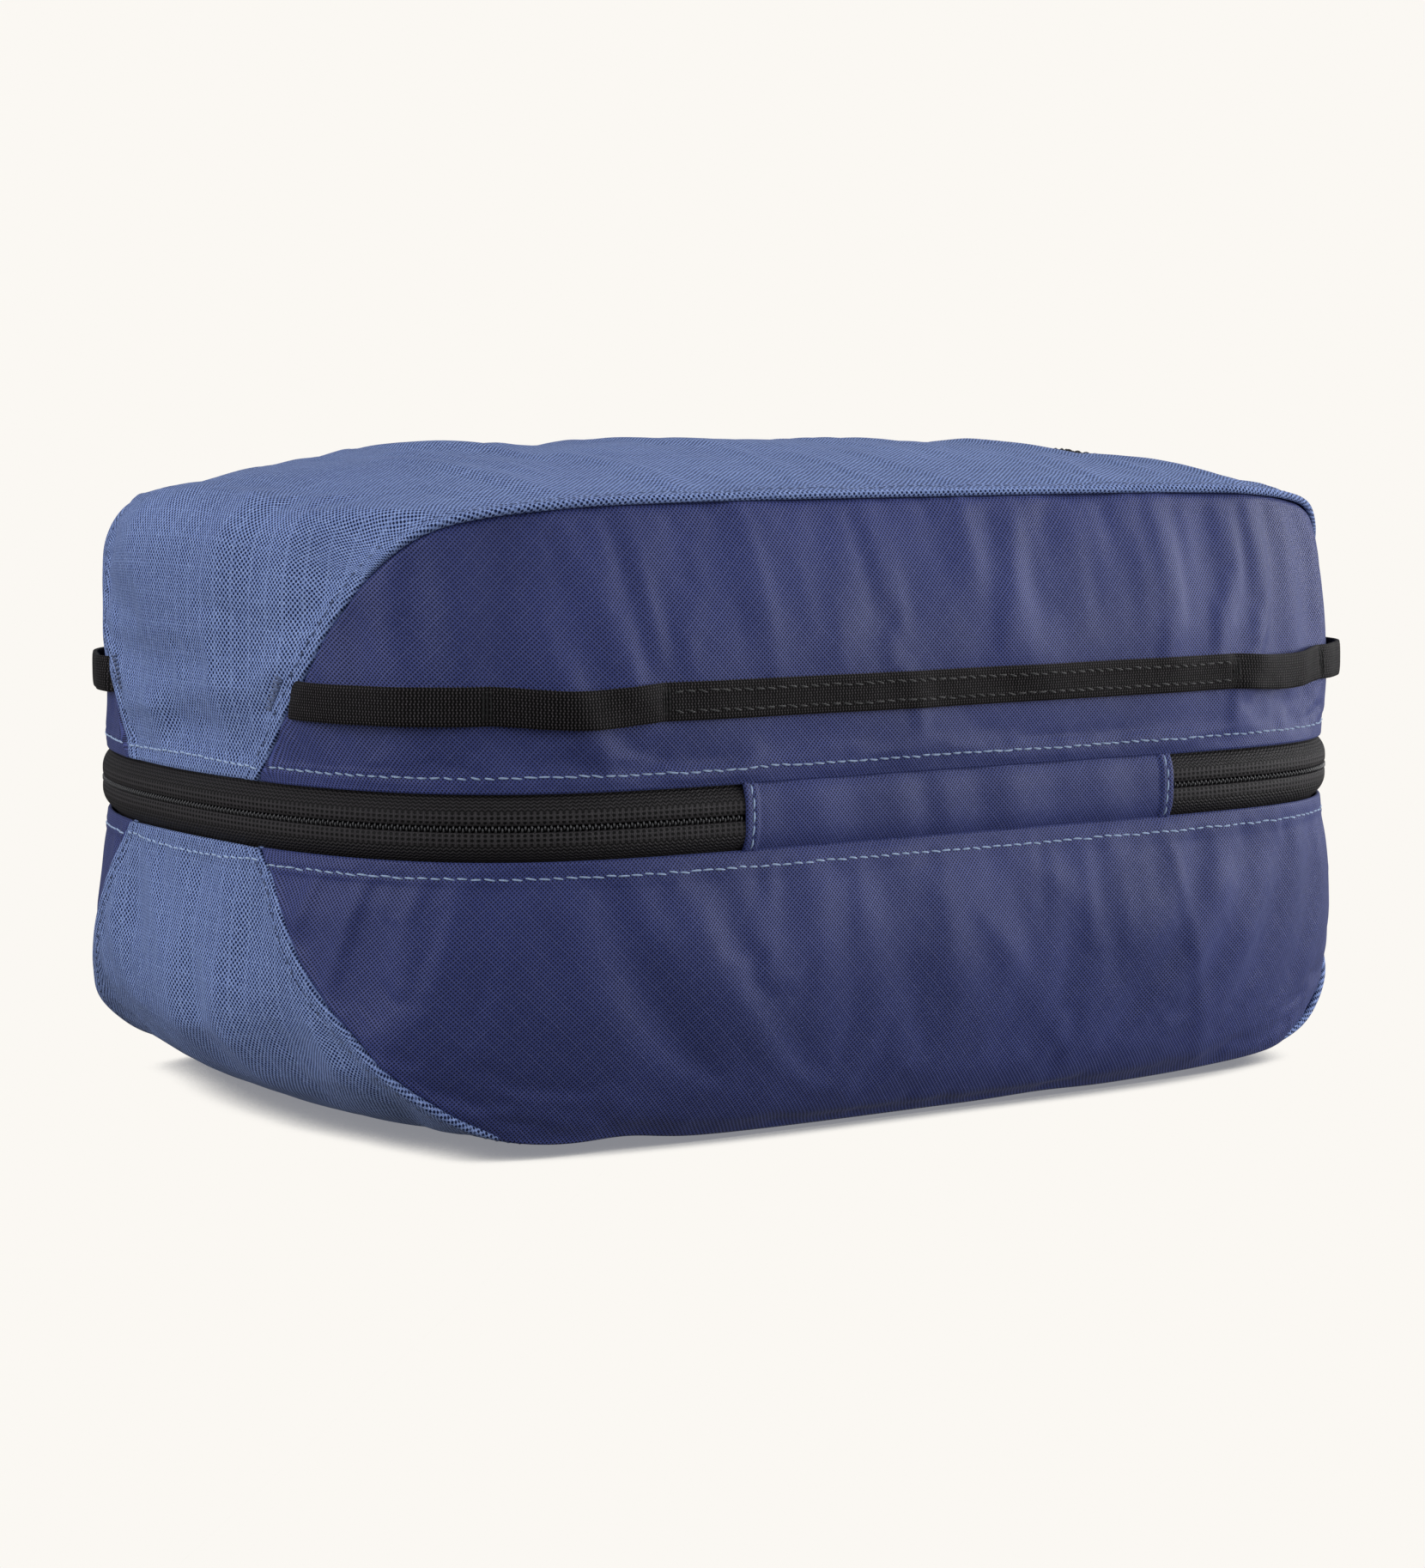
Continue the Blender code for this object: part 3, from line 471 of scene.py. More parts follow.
def soft_threads(name, p0, p1, n, r, lift, body, mat, sink=0.35, rings=5, sides=6):
    """Short lengths of thread, arched over the cloth, as closed solids."""
    p0, p1, n = np.asarray(p0), np.asarray(p1), np.asarray(n)
    t = p1 - p0
    ln = np.linalg.norm(t, axis=-1)[:, None]
    t = t / np.maximum(ln, 1e-9)
    b = np.cross(t, n)
    b /= np.maximum(np.linalg.norm(b, axis=-1), 1e-9)[:, None]
    n = np.cross(b, t)
    ks = np.linspace(0, 1, rings)
    shape = np.sin(math.pi * (0.12 + 0.76 * ks)) ** 0.6
    ang = np.linspace(0, 2 * math.pi, sides, endpoint=False)
    v = []
    for k, w in zip(ks, shape):
        c = p0 + t * ln * k + n * (lift * (math.sin(math.pi * k) - sink))
        for a in ang:
            v.append(c + (n * math.cos(a) * 0.9 + b * math.sin(a)) * r * w)
    v = np.stack(v, 1)                                   # (count, rings*sides, 3)
    count, per = v.shape[:2]
    quads, caps = [], []
    for i in range(rings - 1):
        for j in range(sides):
            a, c = i * sides + j, i * sides + (j + 1) % sides
            quads.append([a, c, c + sides, a + sides])
    caps = [list(range(sides))[::-1], [(rings - 1) * sides + j for j in range(sides)]]
    base = (np.arange(count) * per)[:, None, None]
    q = (np.array(quads)[None] + base).reshape(-1, 4)
    cp = (np.array(caps)[None] + base).reshape(-1, sides)
    me = bpy.data.meshes.new(name)
    co = v.reshape(-1, 3) + np.array([0, 0, HZ])
    me.vertices.add(len(co))
    me.vertices.foreach_set("co", co.ravel())
    loops = np.r_[q.ravel(), cp.ravel()].astype(np.int32)
    me.loops.add(len(loops))
    me.loops.foreach_set("vertex_index", loops)
    starts = np.r_[np.arange(len(q)) * 4, len(q) * 4 + np.arange(len(cp)) * sides].astype(np.int32)
    me.polygons.add(len(starts))
    me.polygons.foreach_set("loop_start", starts)
    me.update(calc_edges=True)
    me.validate()
    uv = np.zeros((len(loops), 2), np.float32)
    kk = loops % per
    uv[:, 0] = (kk // sides) / (rings - 1) * float(ln.mean())
    uv[:, 1] = (kk % sides) / sides * 2 * math.pi * r
    me.uv_layers.new(name="UVMap").data.foreach_set("uv", uv.ravel())
    me.shade_smooth()
    me.materials.append(mat)
    ob = bpy.data.objects.new(name, me)
    bpy.context.scene.collection.objects.link(ob)
    if body:
        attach(ob, body)
    return ob


def stitch_line(path, n, pitch=STITCH, length=0.0026, seed=1, side=None, jitter=0.00020):
    """Splits a dense path into stitches: ends and normals, each slightly askew."""
    d = np.r_[0.0, np.cumsum(np.linalg.norm(np.diff(path, axis=0), axis=1))]
    count = int(d[-1] // pitch)
    r = np.random.default_rng(seed)
    at = (np.arange(count) + 0.5) * d[-1] / count

    def point(q):
        return np.stack([np.interp(q, d, path[:, j]) for j in range(3)], -1)

    def normal(q):
        m = np.stack([np.interp(q, d, n[:, j]) for j in range(3)], -1)
        return m / np.linalg.norm(m, axis=-1)[:, None]
    half = length / 2 * r.uniform(0.86, 1.10, count)
    a, b, m = point(at - half), point(at + half), normal(at)
    t = b - a
    t /= np.linalg.norm(t, axis=-1)[:, None]
    across = np.cross(t, m)
    a = a + across * (jitter * r.uniform(-1, 1, count) - 0.00010)[:, None]
    b = b + across * (jitter * r.uniform(-1, 1, count) + 0.00010)[:, None]
    return a, b, m


# ------------------------------------------------------------------ materials


class Mat:
    """A short hand for building a node material."""

    def __init__(self, name, rough=0.8, spec=0.5, sheen=0.0, sheen_rough=0.5, metallic=0.0, tint=(1, 1, 1)):
        self.m = bpy.data.materials.new(name)
        self.m.use_nodes = True
        self.t = self.m.node_tree
        self.b = self.t.nodes["Principled BSDF"]
        self.b.inputs["Roughness"].default_value = rough
        self.b.inputs["Specular IOR Level"].default_value = spec
        self.b.inputs["Sheen Weight"].default_value = sheen
        self.b.inputs["Sheen Roughness"].default_value = sheen_rough
        self.b.inputs["Sheen Tint"].default_value = (*tint, 1)
        self.b.inputs["Metallic"].default_value = metallic
        c = self.t.nodes.new("ShaderNodeTexCoord")
        sep = self.t.nodes.new("ShaderNodeSeparateXYZ")
        self.t.links.new(c.outputs["UV"], sep.inputs[0])
        self.u, self.v = sep.outputs[0], sep.outputs[1]
        self.obj, self.uv = c.outputs["Object"], c.outputs["UV"]

    def put(self, socket, value):
        if isinstance(value, bpy.types.NodeSocket):
            self.t.links.new(value, socket)
        else:
            socket.default_value = value

    def f(self, op, a, b=None, c=None, clamp=False):
        n = self.t.nodes.new("ShaderNodeMath")
        n.operation = op
        n.use_clamp = clamp
        for k, x in enumerate((a, b, c)):
            if x is not None:
                self.put(n.inputs[k], x)
        return n.outputs[0]

    def wave(self, x, pitch, phase=0.0):
        """0..1 cosine of x with the given pitch."""
        q = self.f("MULTIPLY_ADD", x, 2 * math.pi / pitch, phase)
        return self.f("MULTIPLY_ADD", self.f("COSINE", q), 0.5, 0.5)

    def smooth(self, x, lo, hi):
        n = self.t.nodes.new("ShaderNodeMapRange")
        n.interpolation_type = "SMOOTHSTEP"
        self.put(n.inputs["Value"], x)
        n.inputs["From Min"].default_value = lo
        n.inputs["From Max"].default_value = hi
        return n.outputs[0]

    def noise(self, scale, detail=3.0, rough=0.55, vector=None, stretch=None):
        n = self.t.nodes.new("ShaderNodeTexNoise")
        n.inputs["Scale"].default_value = scale
        n.inputs["Detail"].default_value = detail
        n.inputs["Roughness"].default_value = rough
        v = vector if vector is not None else self.obj
        if stretch:
            mp = self.t.nodes.new("ShaderNodeMapping")
            mp.inputs["Scale"].default_value = stretch
            self.t.links.new(v, mp.inputs[0])
            v = mp.outputs[0]
        self.t.links.new(v, n.inputs["Vector"])
        return n.outputs["Fac"]

    def mix(self, fac, a, b, mode="MIX"):
        n = self.t.nodes.new("ShaderNodeMix")
        n.data_type = "RGBA"
        n.blend_type = mode
        self.put(n.inputs["Factor"], fac)
        self.put(n.inputs["A"], (*a, 1) if isinstance(a, tuple) else a)
        self.put(n.inputs["B"], (*b, 1) if isinstance(b, tuple) else b)
        return n.outputs["Result"]

    def colour(self, c):
        self.put(self.b.inputs["Base Color"], (*c, 1) if isinstance(c, tuple) else c)

    def rough(self, r):
        self.put(self.b.inputs["Roughness"], r)

    def bump(self, height, distance, strength=1.0):
        n = self.t.nodes.new("ShaderNodeBump")
        n.inputs["Strength"].default_value = strength
        n.inputs["Distance"].default_value = distance
        self.t.links.new(height, n.inputs["Height"])
        if self.b.inputs["Normal"].is_linked:
            self.t.links.new(self.b.inputs["Normal"].links[0].from_socket, n.inputs["Normal"])
        self.t.links.new(n.outputs[0], self.b.inputs["Normal"])


def wrap_material():
    """Coarse plain weave of mid blue yarn over a navy ground, with a heavier yarn every few threads."""
    m = Mat("wrap_fabric_weave", rough=0.80, spec=0.16, sheen=0.03, sheen_rough=0.45, tint=(0.6, 0.72, 1.0))
    wob = m.noise(260, 2)
    u = m.f("MULTIPLY_ADD", wob, 0.00022, m.u)
    v = m.f("MULTIPLY_ADD", wob, -0.00018, m.v)
    cu = m.f("COSINE", m.f("MULTIPLY", u, 2 * math.pi / 0.00126))
    cv = m.f("COSINE", m.f("MULTIPLY", v, 2 * math.pi / 0.00114))
    cc = m.f("MULTIPLY", cu, cv)
    hole = m.smooth(cc, -0.06, 0.36)
    rip_u = m.smooth(m.wave(u, 0.0060), 0.965, 0.998)
    rip_v = m.smooth(m.wave(v, 0.0053), 0.955, 0.995)
    rip = m.f("MAXIMUM", m.f("MULTIPLY", rip_u, 0.40), m.f("MULTIPLY", rip_v, 0.8))
    hole = m.f("MULTIPLY", hole, m.f("SUBTRACT", 1.0, m.f("MULTIPLY", rip, 0.40)))
    hole = m.f("MULTIPLY", hole, m.f("MULTIPLY_ADD", m.noise(620, 2), 0.9, 0.58), clamp=True)
    tone = m.noise(38, 4)
    fleck = m.noise(2400, 2)
    yarn = m.mix(m.smooth(tone, 0.3, 0.7), (0.152, 0.216, 0.455), (0.182, 0.256, 0.520))
    yarn = m.mix(m.smooth(fleck, 0.42, 0.78), yarn, (0.330, 0.430, 0.740))
    yarn = m.mix(m.f("MULTIPLY", rip, 0.20), yarn, (0.300, 0.400, 0.700))
    m.colour(m.mix(hole, yarn, (0.004, 0.009, 0.042)))
    h = m.f("SUBTRACT", m.f("MULTIPLY", rip, 0.5), hole)
    m.bump(h, 0.00016, 0.9)
    m.bump(m.noise(1400, 2), 0.00006, 0.6)
    return m.m


def side_material():
    """Coated weave cut on the bias: fine navy pin holes, thin crossing ripstop lines, soft sheen."""
    m = Mat("side_fabric_weave", rough=0.54, spec=0.28, sheen=0.08, sheen_rough=0.35, tint=(0.66, 0.72, 1.0))
    wob = m.noise(180, 2)
    u = m.f("MULTIPLY_ADD", wob, 0.00012, m.u)
    a = m.f("ADD", u, m.v)
    b = m.f("SUBTRACT", u, m.v)
    pitch = 0.00063 * math.sqrt(2)
    f = m.f("MULTIPLY", m.wave(a, pitch), m.wave(b, pitch))
    hole = m.smooth(f, 0.10, 0.48)
    rip = m.f("MAXIMUM", m.smooth(m.wave(a, pitch * 6, math.pi / 6), 0.975, 0.999),
              m.smooth(m.wave(b, pitch * 6, math.pi / 6), 0.975, 0.999))
    tone = m.noise(30, 4)
    fleck = m.noise(2600, 2)
    base = m.mix(m.smooth(tone, 0.3, 0.7), (0.031, 0.044, 0.172), (0.040, 0.055, 0.210))
    base = m.mix(m.f("MULTIPLY", m.smooth(fleck, 0.45, 0.8), 0.6), base, (0.085, 0.105, 0.290))
    base = m.mix(m.f("MULTIPLY", rip, 0.18), base, (0.090, 0.110, 0.290))
    m.colour(m.mix(hole, base, (0.003, 0.004, 0.024)))
    m.rough(m.f("ADD", m.f("MULTIPLY_ADD", hole, 0.22, 0.51), m.f("MULTIPLY", tone, 0.06)))
    m.bump(m.f("SUBTRACT", m.f("MULTIPLY", rip, 0.25), hole), 0.00008, 0.8)
    m.bump(m.noise(900, 3), 0.00008, 0.5)
    return m.m


def tape_material_painted_highlight():
    """Black woven zipper tape: fine waved ribs at the edges, rows of pin holes over the coil; the raised ribs are
    painted grey as painted highlight on the near-black colour.
    """
    m = Mat("zipper_tape_weave_painted_highlight", rough=0.62, spec=0.14, sheen=0.0, sheen_rough=0.4)
    w = m.f("ABSOLUTE", m.v)
    tri = m.f("ABSOLUTE", m.f("SUBTRACT", m.f("FRACT", m.f("MULTIPLY", m.u, 1 / 0.00132)), 0.5))
    ribs = m.wave(m.f("MULTIPLY_ADD", tri, 0.0009, w), 0.00082)
    dots = m.f("MULTIPLY", m.wave(m.u, 0.00132), m.wave(m.f("MULTIPLY_ADD", tri, 0.0002, w), 0.00098))
    dots = m.f("SUBTRACT", 1.0, m.smooth(dots, 0.15, 0.55))
    zone = m.smooth(w, 0.0036, 0.0044)
    pat = m.f("ADD", m.f("MULTIPLY", ribs, zone), m.f("MULTIPLY", dots, m.f("SUBTRACT", 1.0, zone)))
    cross = m.wave(m.u, 0.00033)
    pat = m.f("MULTIPLY", pat, m.f("MULTIPLY_ADD", cross, 0.35, 0.65))
    # painted highlight: where the weave relief is high the near-black tape turns grey
    m.colour(m.mix(m.f("MULTIPLY", pat, m.f("MULTIPLY_ADD", m.noise(900, 2), 0.6, 0.5)), (0.0004, 0.0004, 0.0005), (0.046, 0.042, 0.046)))
    m.bump(pat, 0.00020, 1.0)
    return m.m


def web_material_painted_highlight():
    """Black ribbed webbing: rows of small slanted picks, their raised crests painted grey as painted highlight."""
    m = Mat("webbing_weave_painted_highlight", rough=0.62, spec=0.08, sheen=0.0, sheen_rough=0.4)
    tri = m.f("ABSOLUTE", m.f("SUBTRACT", m.f("FRACT", m.f("MULTIPLY", m.v, 1 / 0.00114)), 0.5))
    u = m.f("MULTIPLY_ADD", tri, 0.00050, m.u)
    rib = m.wave(u, 0.00072)
    row = m.wave(m.v, 0.00057)
    pat = m.f("MULTIPLY", m.smooth(rib, 0.40, 0.95), m.f("MULTIPLY_ADD", row, 0.85, 0.15))
    grain = m.noise(1100, 2)
    # painted highlight: the rib crests, varied by noise, take a grey on the black strap
    pick_highlight_mask = m.f("MULTIPLY", pat, m.f("MULTIPLY_ADD", grain, 1.1, 0.25))
    m.colour(m.mix(pick_highlight_mask, (0.0010, 0.0009, 0.0010), (0.088, 0.080, 0.086)))
    m.bump(pat, 0.00020, 1.0)
    return m.m


def thread_material(name, colour, dark):
    m = Mat(name, rough=0.55, spec=0.45, sheen=0.4, sheen_rough=0.3)
    ply = m.wave(m.f("MULTIPLY_ADD", m.v, 1.6, m.u), 0.00042)
    m.colour(m.mix(ply, dark, colour))
    m.bump(ply, 0.00005, 0.8)
    return m.m


def coil_material():
    m = Mat("zipper_coil_nylon", rough=0.34, spec=0.5)
    t = m.noise(700, 2)
    m.colour(m.mix(t, (0.006, 0.006, 0.007), (0.020, 0.020, 0.022)))
    m.bump(t, 0.00002, 0.5)
    return m.m


def loop_material():
    m = Mat("zipper_loop_nylon", rough=0.36, spec=0.5)
    m.colour(m.mix(m.noise(900, 2), (0.014, 0.014, 0.016), (0.055, 0.055, 0.060)))
    return m.m


def metal_material():
    """Satin black enamel over cast metal, worn a little at the edges."""
    m = Mat("slider_enamel", rough=0.32, spec=0.6, metallic=0.55)
    g = m.t.nodes.new("ShaderNodeNewGeometry")
    worn = m.smooth(g.outputs["Pointiness"], 0.53, 0.60)
    grain = m.noise(1500, 3)
    m.colour(m.mix(m.f("MULTIPLY", worn, 0.55), (0.012, 0.012, 0.013), (0.10, 0.10, 0.105)))
    m.rough(m.f("MULTIPLY_ADD", grain, 0.22, 0.24))
    m.bump(grain, 0.00002, 0.4)
    return m.m


def binding_material():
    m = Mat("binding_grosgrain", rough=0.75, spec=0.35, sheen=0.2)
    rib = m.wave(m.u, 0.00055)
    m.colour(m.mix(rib, (0.006, 0.007, 0.011), (0.024, 0.026, 0.036)))
    m.bump(rib, 0.00012, 0.9)
    return m.m


def mesh_material():
    """Open warp knit: dark yarn round small staggered holes."""
    m = Mat("divider_mesh_knit", rough=0.7, spec=0.35, sheen=0.2)
    cc = m.f("MULTIPLY", m.f("COSINE", m.f("MULTIPLY", m.u, 2 * math.pi / 0.0026)),
             m.f("COSINE", m.f("MULTIPLY", m.v, 2 * math.pi / 0.0034)))
    solid = m.f("SUBTRACT", 1.0, m.smooth(cc, 0.20, 0.42))
    yarn = m.wave(m.f("ADD", m.u, m.v), 0.0006)
    m.colour(m.mix(yarn, (0.010, 0.013, 0.028), (0.034, 0.042, 0.080)))
    m.put(m.b.inputs["Alpha"], solid)
    m.bump(yarn, 0.0001, 0.8)
    return m.m


M_WRAP, M_SIDE, M_TAPE, M_WEB = wrap_material(), side_material(), tape_material_painted_highlight(), web_material_painted_highlight()
M_BLUE = thread_material("thread_light_blue", (0.46, 0.60, 0.84), (0.24, 0.35, 0.58))
M_MID = thread_material("thread_mid_blue", (0.085, 0.135, 0.300), (0.030, 0.050, 0.130))
M_GREY = thread_material("thread_charcoal", (0.016, 0.016, 0.018), (0.004, 0.004, 0.005))
M_COIL, M_METAL, M_BIND, M_KNIT = coil_material(), metal_material(), binding_material(), mesh_material()
M_LOOP = loop_material()

# ---------------------------------------------------------------- wall panels
NU_S, NV_S, NU_W, NV_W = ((300, 62, 400, 130))
S_END = 0.997
BODY = {1: "lid", -1: "base"}


def crest_run(half, x, z):
    """Distance along the middle of a wrap panel to the thread that passes through (x, z)."""
    c = CRESTS[half]
    tg = np.gradient(c, axis=0)
    tg /= np.linalg.norm(tg, axis=1)[:, None]
    arc = np.r_[0.0, np.cumsum(np.linalg.norm(np.diff(c, axis=0), axis=1))]
    q = np.stack([x.ravel(), z.ravel()], -1)
    k = np.concatenate([np.argmin((b[:, :1] - c[None, :, 0]) ** 2 + (b[:, 1:] - c[None, :, 1]) ** 2, axis=1)
                        for b in np.array_split(q, 24)])
    return (arc[k] + ((q - c[k]) * tg[k]).sum(1)).reshape(x.shape)


HALF = {1: "upper", -1: "lower"}
SIDE = {-1: "front", 1: "back"}
panels = {}
for half in (1, -1):
    for side in (-1, 1):
        s1 = np.linspace(-S_END, S_END, NU_S)
        t1 = np.r_[0, 0.004, 0.010, np.linspace(0.02, 0.985, NV_S), 0.993, 1.0]
        s, t = np.meshgrid(s1, t1, indexing="ij")
        p, n = side_pos(half, side, s, t)
        seam_plan = np.r_[0, np.cumsum(np.linalg.norm(np.diff(SEAMS[half][:, :2], axis=0), axis=1))]
        lp = np.interp(np.abs(s), _f, seam_plan) * np.sign(s)
        uv = np.stack([(1 - t) * EDGE_LEN * s + t * lp, p[..., 2] + 0.4], -1)
        rows = roll(p[:, 0], p[:, 3], n[:, 0], 0.00055, 1.05, 5)
        p = np.concatenate([np.stack(rows[::-1], 1), p], 1)
        ex = np.linspace(-0.0016, -0.0003, 5)
        uv = np.concatenate([np.stack([np.stack([uv[:, 0, 0], uv[:, 0, 1] + half * e], -1) for e in ex], 1), uv], 1)
        ob = grid_object(f"{HALF[half]}_{SIDE[side]}_cloth", p, uv, BODY[half], M_SIDE, CLOTH)
        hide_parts(f"{HALF[half]}_{SIDE[side]}_panel")
        panels[(half, side)] = ob
        side_base(half, side, s1, 0.0)[1] + 0.004
    s1 = np.sign(np.linspace(-1, 1, NU_W)) * np.abs(np.linspace(-1, 1, NU_W)) ** 0.94
    t1 = np.r_[0, 0.004, np.linspace(0.010, 0.990, NV_W), 0.996, 1.0]
    s, t = np.meshgrid(s1, t1, indexing="ij")
    p, n = wrap_pos(half, s, t)
    _p, w = wrap_base(half, s, t)
    uv = np.stack([0.5 + np.sign(s) * crest_run(half, np.abs(_p[..., 0]), _p[..., 2]), _p[..., 1] + 0.5], -1)
    lip_a, lip_b = overhang(p[:, 0], p[:, 3], n[:, 0]), overhang(p[:, -1], p[:, -4], n[:, -1])
    a = roll(lip_a, p[:, 0], n[:, 0], 0.0009, 1.1, 6)
    b = roll(lip_b, p[:, -1], n[:, -1], 0.0009, 1.1, 6)
    a[0:0], b[0:0] = [lip_a], [lip_b]
    na, nb = [n[:, 0]] * 7, [n[:, -1]] * 7
    ex = np.linspace(0.0032, 0.0006, 7)
    ua = np.stack([np.stack([uv[:, 0, 0], uv[:, 0, 1] - e], -1) for e in ex], 1)
    ub = np.stack([np.stack([uv[:, -1, 0], uv[:, -1, 1] + e], -1) for e in ex[::-1]], 1)
    p = np.concatenate([np.stack(a[::-1], 1), p, np.stack(b, 1)], 1)
    n = np.concatenate([np.stack(na, 1), n, np.stack(nb, 1)], 1)
    uv = np.concatenate([ua, uv, ub], 1)
    a = roll(p[0], p[3], n[0], 0.00055, 1.05, 5)
    b = roll(p[-1], p[-4], n[-1], 0.00055, 1.05, 5)
    ex = np.linspace(0.0016, 0.0003, 5)
    ua = np.stack([np.stack([uv[0, :, 0] - e, uv[0, :, 1]], -1) for e in ex], 0)
    ub = np.stack([np.stack([uv[-1, :, 0] + e, uv[-1, :, 1]], -1) for e in ex[::-1]], 0)
    p = np.concatenate([np.stack(a[::-1], 0), p, np.stack(b, 0)], 0)
    uv = np.concatenate([ua, uv, ub], 0)
    ob = grid_object(f"{HALF[half]}_wrap_cloth", p, uv, BODY[half], M_WRAP, CLOTH)
    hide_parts(f"{HALF[half]}_wrap_panel")
    panels[(half, 0)] = ob

# ------------------------------------------------------------------ stitching
for half in (1, -1):
    a_all, b_all, n_all = [], [], []
    for side in (-1, 1):
        s = np.linspace(-0.975, 0.975, 1200)
        _p, h = side_base(half, side, s, 0.0)
        p, n = side_pos(half, side, s, 0.0030 / h)
        a, b, m = stitch_line(p, n, seed=200 + half + 3 * side)
        a_all.append(a), b_all.append(b), n_all.append(m)
    for end in (-1, 1):
        t = np.linspace(0.0, 1.0, 300)
        p, n = wrap_pos(half, np.full(300, end * (1 - 0.0030 / CREST_LEN[half])), t)
        a, b, m = stitch_line(p, n, seed=220 + half + 3 * end)
        a_all.append(a), b_all.append(b), n_all.append(m)
    soft_threads(f"{HALF[half]}_hem_topstitch", np.concatenate(a_all), np.concatenate(b_all), np.concatenate(n_all),
                 0.00022, 0.00032, BODY[half], M_BLUE)
    a_all, b_all, n_all = [], [], []
    for side in (-1, 1):
        s = np.linspace(-0.985, 0.985, 1600)
        _p, w = wrap_base(half, s, 0.0)
        t = 0.0018 / w
        p, n = wrap_pos(half, s, t if side < 0 else 1 - t)
        a, b, m = stitch_line(p, n, pitch=0.0026, length=0.0019, seed=240 + half + 3 * side)
        a_all.append(a), b_all.append(b), n_all.append(m)
    soft_threads(f"{HALF[half]}_seam_topstitch", np.concatenate(a_all), np.concatenate(b_all), np.concatenate(n_all),
                 0.00020, 0.00026, BODY[half], M_MID)

# --------------------------------------------------------------------- zipper
TAPE = np.array([(.0016, .00055), (.0009, .00058), (.0004, .00070), (.00018, .0009), (.0001, .0016), (.0001, .0028),
                 (.0003, .0038), (.0006, .0046), (.0011, .0054), (.0018, .0062), (.0027, .0070), (.0034, .0080),
                 (.0040, .0098), (.0040, .0122)])
NT = 1100
for half in (1, -1):
    ln = np.linspace(L0 - 0.0008, L1 + 0.0008, NT)
    ins, zz = TAPE[:, 0], TAPE[:, 1]
    q = np.linspace(0, 1, 24)
    arc = np.r_[0, np.cumsum(np.hypot(np.diff(ins), np.diff(zz)))]
    ins, zz = np.interp(q * arc[-1], arc, ins), np.interp(q * arc[-1], arc, zz)
    L, I = np.meshgrid(ln, ins, indexing="ij")
    wave = 0.00025 * noise1(L, 0.021, 300 + half) * np.clip(zz / 0.006, 0, 1)[None]
    pxy, _n = outline(L, I + wave)
    p = np.stack([pxy[..., 0], pxy[..., 1], np.broadcast_to(half * zz, L.shape)], -1)
    uv = np.stack([L, np.broadcast_to(half * q * arc[-1], L.shape)], -1)
    ob = grid_object(f"{HALF[half]}_tape_cloth", p, uv, BODY[half], M_TAPE, 0.0005)
    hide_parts(f"{HALF[half]}_zipper_tape")
    pitch = 0.00132
    at = np.arange(L0 + 0.001, L1 - 0.001, pitch) + (0 if half > 0 else pitch / 2)
    _pa, na = outline(at, 0.0007)
    n3 = np.concatenate([na, np.zeros((len(at), 1))], 1)
    p0 = np.concatenate([outline(at, 0.00030)[0], np.full((len(at), 1), -half * 0.00030)], 1)
    p1 = np.concatenate([outline(at, 0.00045)[0], np.full((len(at), 1), half * 0.00074)], 1)
    teeth = soft_threads(f"{HALF[half]}_coil_loops", p0, p1, n3, 0.00023, 0.00016, BODY[half], M_LOOP,
                         sink=0.2, rings=5, sides=6)
    # the coil behind the tape
    lc = np.linspace(L0 + 0.0006, L1 - 0.0006, 2 * len(at) + 1)
    turn = np.linspace(0, 2 * math.pi, 9)
    L, T = np.meshgrid(lc, turn, indexing="ij")
    r = 0.00085 + 0.00022 * np.cos(2 * math.pi * L / pitch)
    pxy, nn = outline(L, 0.0024 - r * np.cos(T))
    p = np.stack([pxy[..., 0], pxy[..., 1], half * 0.00155 + r * np.sin(T)], -1)
    ob = grid_object(f"{HALF[half]}_coil", p, np.stack([L, T * 0.0009], -1), BODY[half], M_COIL)
    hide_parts(f"{HALF[half]}_zipper_coil")

# the fabric hinge between the zipper's two ends
FOLDS = [(-38.5, 4.6, .75), (-29, 3.2, -.35), (-17.6, 4.2, .65), (-11, 3.0, -.4), (-5.7, 3.4, .5), (3.5, 3.6, -.6),
         (12.5, 4.4, .8), (24, 4.2, -.5), (38, 4.6, .7), (47, 3.4, -.4), (-48, 3.0, -.35)]


def gusset_pos(x, w):
    """Outer face of the fabric hinge by distance along the front and height w in -1..1."""
    inset = 0.0002 + 0.0022 * np.abs(w) ** 3.0
    for c, k, h in FOLDS:
        inset = inset - h * 0.65e-3 * bell(x * 1e3 + 1.5 * w, c, k) * (1 - 0.55 * np.abs(w) ** 2)
    end = GUSSET_HALF - np.abs(x)
    inset = inset - 0.0006 * (1 - step(end, 0.0022, 0.0034)) + 0.00025 * bell(end, 0.0014, 0.0005)
    pxy, n = outline(x, np.maximum(inset, -0.0012))
    return np.stack([pxy[..., 0], pxy[..., 1], w * 0.0080], -1), np.stack([n[..., 0], n[..., 1], 0 * x], -1)


x, w = np.meshgrid(np.linspace(-GUSSET_HALF, GUSSET_HALF, 240), np.linspace(-1, 1, 27), indexing="ij")
p, n = gusset_pos(x, w)
uv = np.stack([x + 0.3, w * 0.0080 + 0.3], -1)
a, b = roll(p[0], p[3], n[0], 0.00045, 1.05, 5), roll(p[-1], p[-4], n[-1], 0.00045, 1.05, 5)
ex = np.linspace(0.0014, 0.0003, 5)
p = np.concatenate([np.stack(a[::-1], 0), p, np.stack(b, 0)], 0)
uv = np.concatenate([np.stack([uv[0] - [e, 0] for e in ex], 0), uv, np.stack([uv[-1] + [e, 0] for e in ex[::-1]], 0)], 0)
gusset = grid_object("hinge_gusset_cloth", p, uv, None, M_SIDE, 0.0005)
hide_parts("hinge_gusset")
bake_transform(gusset)
a_all, b_all, n_all = [], [], []
